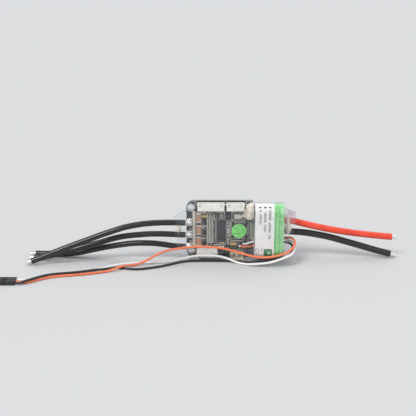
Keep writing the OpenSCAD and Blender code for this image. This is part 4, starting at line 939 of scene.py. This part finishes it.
# ---------------------------------------------------------------- clear film
FILM = [
    (-41.0, 5.6, 30.2, -0.9, 6.4, 3.2, 3.2, 3.2, 3.2, 3.2, 0, 2.0), (-38.6, 4.8, 31.7, -1.1, 7.4, 3.4, 3.4, 3.4, 3.4, 3.4, 0, 1.2),
    (-36.0, 4.2, 33.2, -1.3, 8.6, 3.4, 4.2, 3.6, 4.2, 3.6, 0.05, 0.5), (-34.2, 3.7, 34.8, -1.5, 9.6, 3.2, 4.8, 3.4, 4.8, 3.4, 0.2, 0),
    (-33.3, 2.9, 37.2, -1.6, 10.2, 3.0, 5.0, 3.2, 5.0, 3.2, 0.25, 0), (-32.2, 1.4, 39.6, -1.8, 10.7, 2.6, 5.0, 3.0, 5.0, 3.0, 0.2, 0),
    (-30.4, 0.3, 40.9, -1.95, 10.95, 2.2, 5.0, 2.8, 5.0, 2.8, 0.1, 0), (-28.0, 0, 41.3, -2.0, 11, 2.0, 5.0, 2.6, 5.0, 2.6, 0, 0),
    (-10.0, 0, 41.3, -2.0, 11, 2.0, 5.0, 2.6, 5.0, 2.6, 0, 0), (7.2, 0, 41.3, -2.0, 11, 2.0, 5.0, 2.6, 5.0, 2.6, 0, 0),
    (8.3, 0, 41.3, -2.9, 11, 2.9, 5.0, 2.6, 5.0, 2.6, 0, 0), (9.7, 0, 41.3, -5.4, 11, 4.4, 5.0, 2.6, 5.0, 2.6, 0, 0),
    (11.2, 0, 41.4, -9.2, 11, 5.8, 5.0, 2.6, 5.2, 2.8, 0, 0), (12.4, 0, 41.6, -11, 11, 6.6, 5.0, 2.6, 8.4, 3.4, 0, 0),
    (14.0, 0, 41.6, -11, 11, 6.6, 5.0, 2.6, 13.6, 4.3, 0, 0), (32.6, 0, 41.6, -11, 11, 6.6, 5.0, 2.6, 13.6, 4.3, -0.1, 0),
    (33.6, 3.4, 38.6, -7.6, 11, 6.0, 5.0, 3.2, 9.0, 4.2, -0.3, 0), (34.8, 8.0, 35.6, -3.6, 11, 4.6, 4.6, 3.8, 6.4, 4.2, -0.3, 0),
    (38.2, 8.4, 33.6, -1.7, 11, 3.8, 4.0, 3.6, 4.6, 3.8, -0.1, 1.7), (41.0, 9.0, 32.6, -1.2, 11, 3.4, 3.6, 3.4, 4.0, 3.6, 0, 4.4),
]
FILM_T = 0.30
CORNER, FRONT, TOP, BACK = 8, 40, 12, 26
WINDOWS = [(-25.6, -7.0, "top", 0.5), (-6.2, 6.4, "top", 0.5), (-26.2, -11.6, "low", 0.5), (-3.6, 6.6, "low", 0.875)]


def film_section(x):
    """The film's section at x, straight between the two stated ones beside it."""
    for a, b in zip(FILM, FILM[1:]):
        if x <= b[0]:
            u = (x - a[0]) / (b[0] - a[0])
            return [p + (q - p) * u for p, q in zip(a, b)]
    return list(FILM[-1])


def film_ring(x, t):
    """Points of one section, shrunk by t, starting at the low front corner: (x, y, z, side, share)."""
    s = film_section(x)
    z0, z1, y0, y1, rf = s[1] + t, s[2] - t, s[3] + t, s[4] - t, s[5] - t
    low = (y1 - s[6] + t, z0 + s[7] - t, s[6] - t, s[7] - t)
    top = (y1 - s[8] + t, z1 - s[9] + t, s[8] - t, s[9] - t)
    pts = []

    def steps(far):
        """Shares along a flat side, with a point where the cut windows end."""
        split = (4.2 - (y0 + rf)) / (far - (y0 + rf)) if -28.2 < s[0] < 7.3 else 0.7
        return [split * i / 7 for i in range(8)] + [split + (1 - split) * i / 5 for i in range(1, 6)]

    def arc(cy, cz, dy, dz, start, side, e):
        for i in range(CORNER):
            c, d = math.cos(math.radians(start + 90 * i / CORNER)), math.sin(math.radians(start + 90 * i / CORNER))
            pts.append((cy + math.copysign(dy * abs(c) ** e, c), cz + math.copysign(dz * abs(d) ** e, d), side, i / CORNER))

    arc(y0 + rf, z0 + rf, rf, rf, 180, "low_front", 1)  # 180 to 270: front to low
    for f in steps(low[0])[:-1]:
        pts.append((y0 + rf + (low[0] - y0 - rf) * f, z0, "low", f))
    arc(*low, 270, "low_back", 1.5)
    for i in range(BACK):
        pts.append((y1, low[1] + (top[1] - low[1]) * i / BACK, "back", i / BACK))
    arc(*top, 0, "top_back", 1.5)
    for f in reversed(steps(top[0])[1:]):
        pts.append((y0 + rf + (top[0] - y0 - rf) * f, z1, "top", f))
    arc(y0 + rf, z1 - rf, rf, rf, 90, "top_front", 1)
    for i in range(FRONT):
        pts.append((y0, z1 - rf - (z1 - rf - z0 - rf) * i / FRONT, "front", i / FRONT))
    out = []
    for y, z, side, share in pts:
        lean = s[11] * ((z1 - z) / (z1 - z0) if s[0] < 0 else -(z1 - z) / (z1 - z0))
        out.append((x + (s[10] if t > 0 else 0) + lean, y, z, side, share))
    return out


def smooth_step(a, b, v):
    u = min(1.0, max(0.0, (v - a) / (b - a)))
    return u * u * (3 - 2 * u)


def film_shift(x, y, z, side):
    """How far the film stands off its plain shape, inwards being negative, in mm."""
    h = 0.0
    front = side in ("front",)
    # stretched over the connectors, the film sags in between them
    if front and -28 < x < 9:
        span_x = smooth_step(-28, -22, x) * (1 - smooth_step(3, 8.5, x))
        span_z = smooth_step(8.5, 16, z) * (1 - smooth_step(26, 33, z))
        h -= 0.75 * span_x * span_z
        h -= 0.22 * smooth_step(-8.6, -7.2, x) * (1 - smooth_step(-6.4, -5.0, x)) * smooth_step(31, 35, z)
    # puckers that run in from both mouths
    left = 1 - smooth_step(-40.5, -31.5, x)
    right = smooth_step(32.8, 40.0, x)
    flat = side in ("front", "back")
    if left > 0:
        a = math.sin(z * 1.55 + 0.9 * math.sin(x * 0.5) + 1.4 * jig(x, 0, z, 0.22, 5))
        h += 0.20 * left * a * (1.0 if flat else 0.4)
        if flat:
            for mid, deep in ((13.4, 0.85), (21.9, 0.30), (29.6, 0.5), (6.4, 0.5)):
                h -= deep * left * math.exp(-(((z - mid) / 1.7) ** 2)) * (1.0 if side == "front" else 0.8)
    if right > 0:
        a = math.sin(z * 1.9 + 1.2 * math.sin(x * 0.7) + 1.6 * jig(x, 3, z, 0.25, 11))
        h += 0.26 * right * a * (1.0 if side == "front" else 0.3)
    # shallow crinkles everywhere, stronger where the film is narrowed
    crease = abs(jig(x, y * 0.6, z, 0.30, 17)) ** 0.7
    base = 0.05 + 0.16 * max(left, right)
    h += base * (jig(x, y, z, 0.55, 2.0) - 0.6 * crease)
    if side in ("back", "top", "low", "low_back", "top_back", "low_front", "top_front") or x > 12.3 and x < 32.8:
        h = min(h, 0.0) * (0.35 if -32 < x < 34 else 1.0)
        if side in ("low", "low_front", "low_back"):
            h = 0.0
    return max(-1.1, min(0.45, h))


def film_material():
    """Clear shrunk film: see-through, with a gloss that grows towards its edges and a faint haze, stronger at its
    mouths, and a painted pink reflection of the red lead at its right-hand mouth.
    """
    m = Mat("clear_film", (0.80, 0.80, 0.86), 0.30, 0.0, 0.5)
    nt = m.nt
    wrinkle = m.noise(230, 4.0, 0.62, distortion=0.6)
    fine = m.noise(1500, 3.0, 0.6)
    bump = nt.nodes.new("ShaderNodeBump")
    bump.inputs["Strength"].default_value = 0.30
    bump.inputs["Distance"].default_value = 0.00022
    nt.links.new(m.math("ADD", wrinkle, m.math("MULTIPLY", fine, 0.12)), bump.inputs["Height"])
    glass = nt.nodes.new("ShaderNodeBsdfTransparent")
    glass.inputs["Color"].default_value = (0.985, 0.988, 0.992, 1)
    gloss = nt.nodes.new("ShaderNodeBsdfGlossy")
    gloss.inputs["Color"].default_value = (0.98, 0.99, 1.0, 1)
    gloss.inputs["Roughness"].default_value = 0.09
    nt.links.new(bump.outputs[0], gloss.inputs["Normal"])
    x, y, z = m.axes()
    # painted reflection: towards the right-hand mouth the film is tinted pink-purple for the red supply lead showing in
    # it; the same mask also thickens the real haze there
    mouth_haze_and_painted_pink = m.span(x, 0, 1, 0.0335, 0.0385)
    m.colour(m.mix(mouth_haze_and_painted_pink, (0.78, 0.81, 0.87), (0.60, 0.40, 0.52)))
    nt.links.new(bump.outputs[0], m.p.inputs["Normal"])
    cloud = m.noise(140, 4.0, 0.6, distortion=0.8)
    tip = m.math("MULTIPLY", m.span(x, 0, 1, 0.0345, 0.0362), m.span(z, 0, 1, 0.0270, 0.0300))
    crumple = m.math("MULTIPLY", tip, m.span(m.noise(420, 3.0, 0.6, distortion=1.2), 0.04, 0.42, 0.42, 0.60))
    haze = m.math("ADD", m.span(cloud, 0.002, 0.018, 0.35, 0.75), m.math("MULTIPLY", mouth_haze_and_painted_pink, m.span(cloud, 0.01, 0.05, 0.40, 0.62)))
    haze = m.math("ADD", haze, crumple, clamp=True)
    first = nt.nodes.new("ShaderNodeMixShader")
    nt.links.new(haze, first.inputs[0])
    nt.links.new(glass.outputs[0], first.inputs[1])
    nt.links.new(m.p.outputs[0], first.inputs[2])
    edge = nt.nodes.new("ShaderNodeLayerWeight")
    edge.inputs["Blend"].default_value = 0.5
    nt.links.new(bump.outputs[0], edge.inputs["Normal"])
    rise = m.math("POWER", edge.outputs["Facing"], 4.0)
    second = nt.nodes.new("ShaderNodeMixShader")
    nt.links.new(m.math("ADD", m.math("MULTIPLY", rise, 0.60), 0.020, clamp=True), second.inputs[0])
    nt.links.new(first.outputs[0], second.inputs[1])
    nt.links.new(gloss.outputs[0], second.inputs[2])
    nt.links.new(second.outputs[0], m.out.inputs[0])
    return m.m


def make_film():
    """The sleeve: a double skin with cut windows, wrinkled, closed at its rims."""
    marks = {round(v, 4) for w in WINDOWS for v in w[:2]}
    marks |= {s[0] for s in FILM}
    xs, step = [], 0.7
    for a, b in zip(sorted(marks), sorted(marks)[1:]):
        n = max(1, math.ceil((b - a) / step))
        xs += [a + (b - a) * i / n for i in range(n)]
    xs.append(41.0)
    outer = [film_ring(x, 0.0) for x in xs]
    inner = [film_ring(x, FILM_T) for x in xs]
    m = len(outer[0])
    n = len(xs)
    verts = []
    moved = []
    for i in range(n):
        row = []
        for k in range(m):
            p, q = Vector(outer[i][k][:3]), Vector(inner[i][k][:3])
            a, b = Vector(outer[i][(k + 1) % m][:3]), Vector(outer[i][k - 1][:3])
            along = (Vector(outer[min(i + 1, n - 1)][k][:3]) - Vector(outer[max(i - 1, 0)][k][:3])).normalized()
            out = along.cross((b - a).normalized())
            out.normalize()
            if out.dot(p - Vector((p.x, (outer[i][0][1] + outer[i][m // 2][1]) / 2, 20.8))) < 0:
                out = -out
            h = film_shift(p.x, p.y, p.z, outer[i][k][3])
            row.append((p + out * h, q + out * h))
        moved.append(row)
    for skin in (0, 1):
        for row in moved:
            for pair in row:
                verts.append(pair[skin] * MM)
    cut = set()
    for x0, x1, side, part in WINDOWS:
        for i in range(n - 1):
            mid = (xs[i] + xs[i + 1]) / 2
            if not x0 < mid < x1:
                continue
            for k in range(m):
                s, u = outer[i][k][3], outer[i][k][4]
                e = outer[i][(k + 1) % m]
                if side == "top" and (s == "top" and e[1] < 4.2001 and outer[i][k][1] < 4.2001 or s == "top_front" and u < 0.5 - 1e-6):
                    cut.add((i, k))
                if side == "low" and (s == "low" and max(outer[i][k][1], e[1]) < 4.2001 or s == "low_front" and u > part - 1e-6):
                    cut.add((i, k))
    off = n * m
    faces = []
    for i in range(n - 1):
        for k in range(m):
            if (i, k) in cut:
                for di, dk, ea, eb in ((-1, 0, i * m + k, i * m + (k + 1) % m), (1, 0, (i + 1) * m + k, (i + 1) * m + (k + 1) % m),
                                       (0, -1, i * m + k, (i + 1) * m + k), (0, 1, i * m + (k + 1) % m, (i + 1) * m + (k + 1) % m)):
                    if (i + di, (k + dk) % m) not in cut:
                        faces.append((ea, eb, off + eb, off + ea))
                continue
            a, b = i * m + k, i * m + (k + 1) % m
            faces.append((a, b, b + m, a + m))
            faces.append((off + a, off + a + m, off + b + m, off + b))
    for k in range(m):
        b = (k + 1) % m
        faces.append((k, off + k, off + b, b))
        faces.append(((n - 1) * m + k, (n - 1) * m + b, off + (n - 1) * m + b, off + (n - 1) * m + k))
    ob = add_mesh("clear_sleeve", verts, faces)
    ob.data.set_sharp_from_angle(angle=math.radians(60))
    return place(ob, film_material(), ("heat_shrink_sleeve",))


make_film()


# ---------------------------------------------------------------- floor and light
def floor_material():
    m = Mat("pale_floor", (0.60, 0.61, 0.62), 0.60, 0.0, 0.25)
    m.colour(m.ramp(m.noise(3.0, 2.0, 0.5), [(0.3, (0.592, 0.600, 0.608)), (0.7, (0.608, 0.616, 0.624))]))
    return m.m


me = bpy.data.meshes.new("floor")
me.from_pydata([(-60, -60, 0), (60, -60, 0), (60, 60, 0), (-60, 60, 0)], [], [(0, 1, 2, 3)])
floor = bpy.data.objects.new("floor", me)
floor.location = (0, 0, -0.00001)
scene.collection.objects.link(floor)
me.materials.append(floor_material())


def sun(name, towards, power, spread, colour=(1, 1, 1)):
    """A wide soft light from far away, so that the floor is lit evenly. towards is the direction it comes from."""
    d = bpy.data.lights.new(name, "SUN")
    d.energy = power
    d.angle = math.radians(spread)
    d.color = colour
    ob = bpy.data.objects.new(name, d)
    ob.location = Vector(towards)
    ob.rotation_euler = Vector(towards).to_track_quat("Z", "Y").to_euler()
    scene.collection.objects.link(ob)
    return ob


sun("key", (-0.55, -0.62, 0.95), 1.75, 26, (1.0, 0.985, 0.96))
sun("top", (0.25, 0.45, 1.0), 0.65, 50)
sun("fill", (0.75, -0.65, 0.40), 0.45, 50, (0.95, 0.98, 1.0))

world = bpy.data.worlds.new("studio")
world.use_nodes = True
bg = world.node_tree.nodes["Background"]
bg.inputs[0].default_value = (0.93, 0.95, 0.98, 1)
bg.inputs[1].default_value = 0.60
scene.world = world
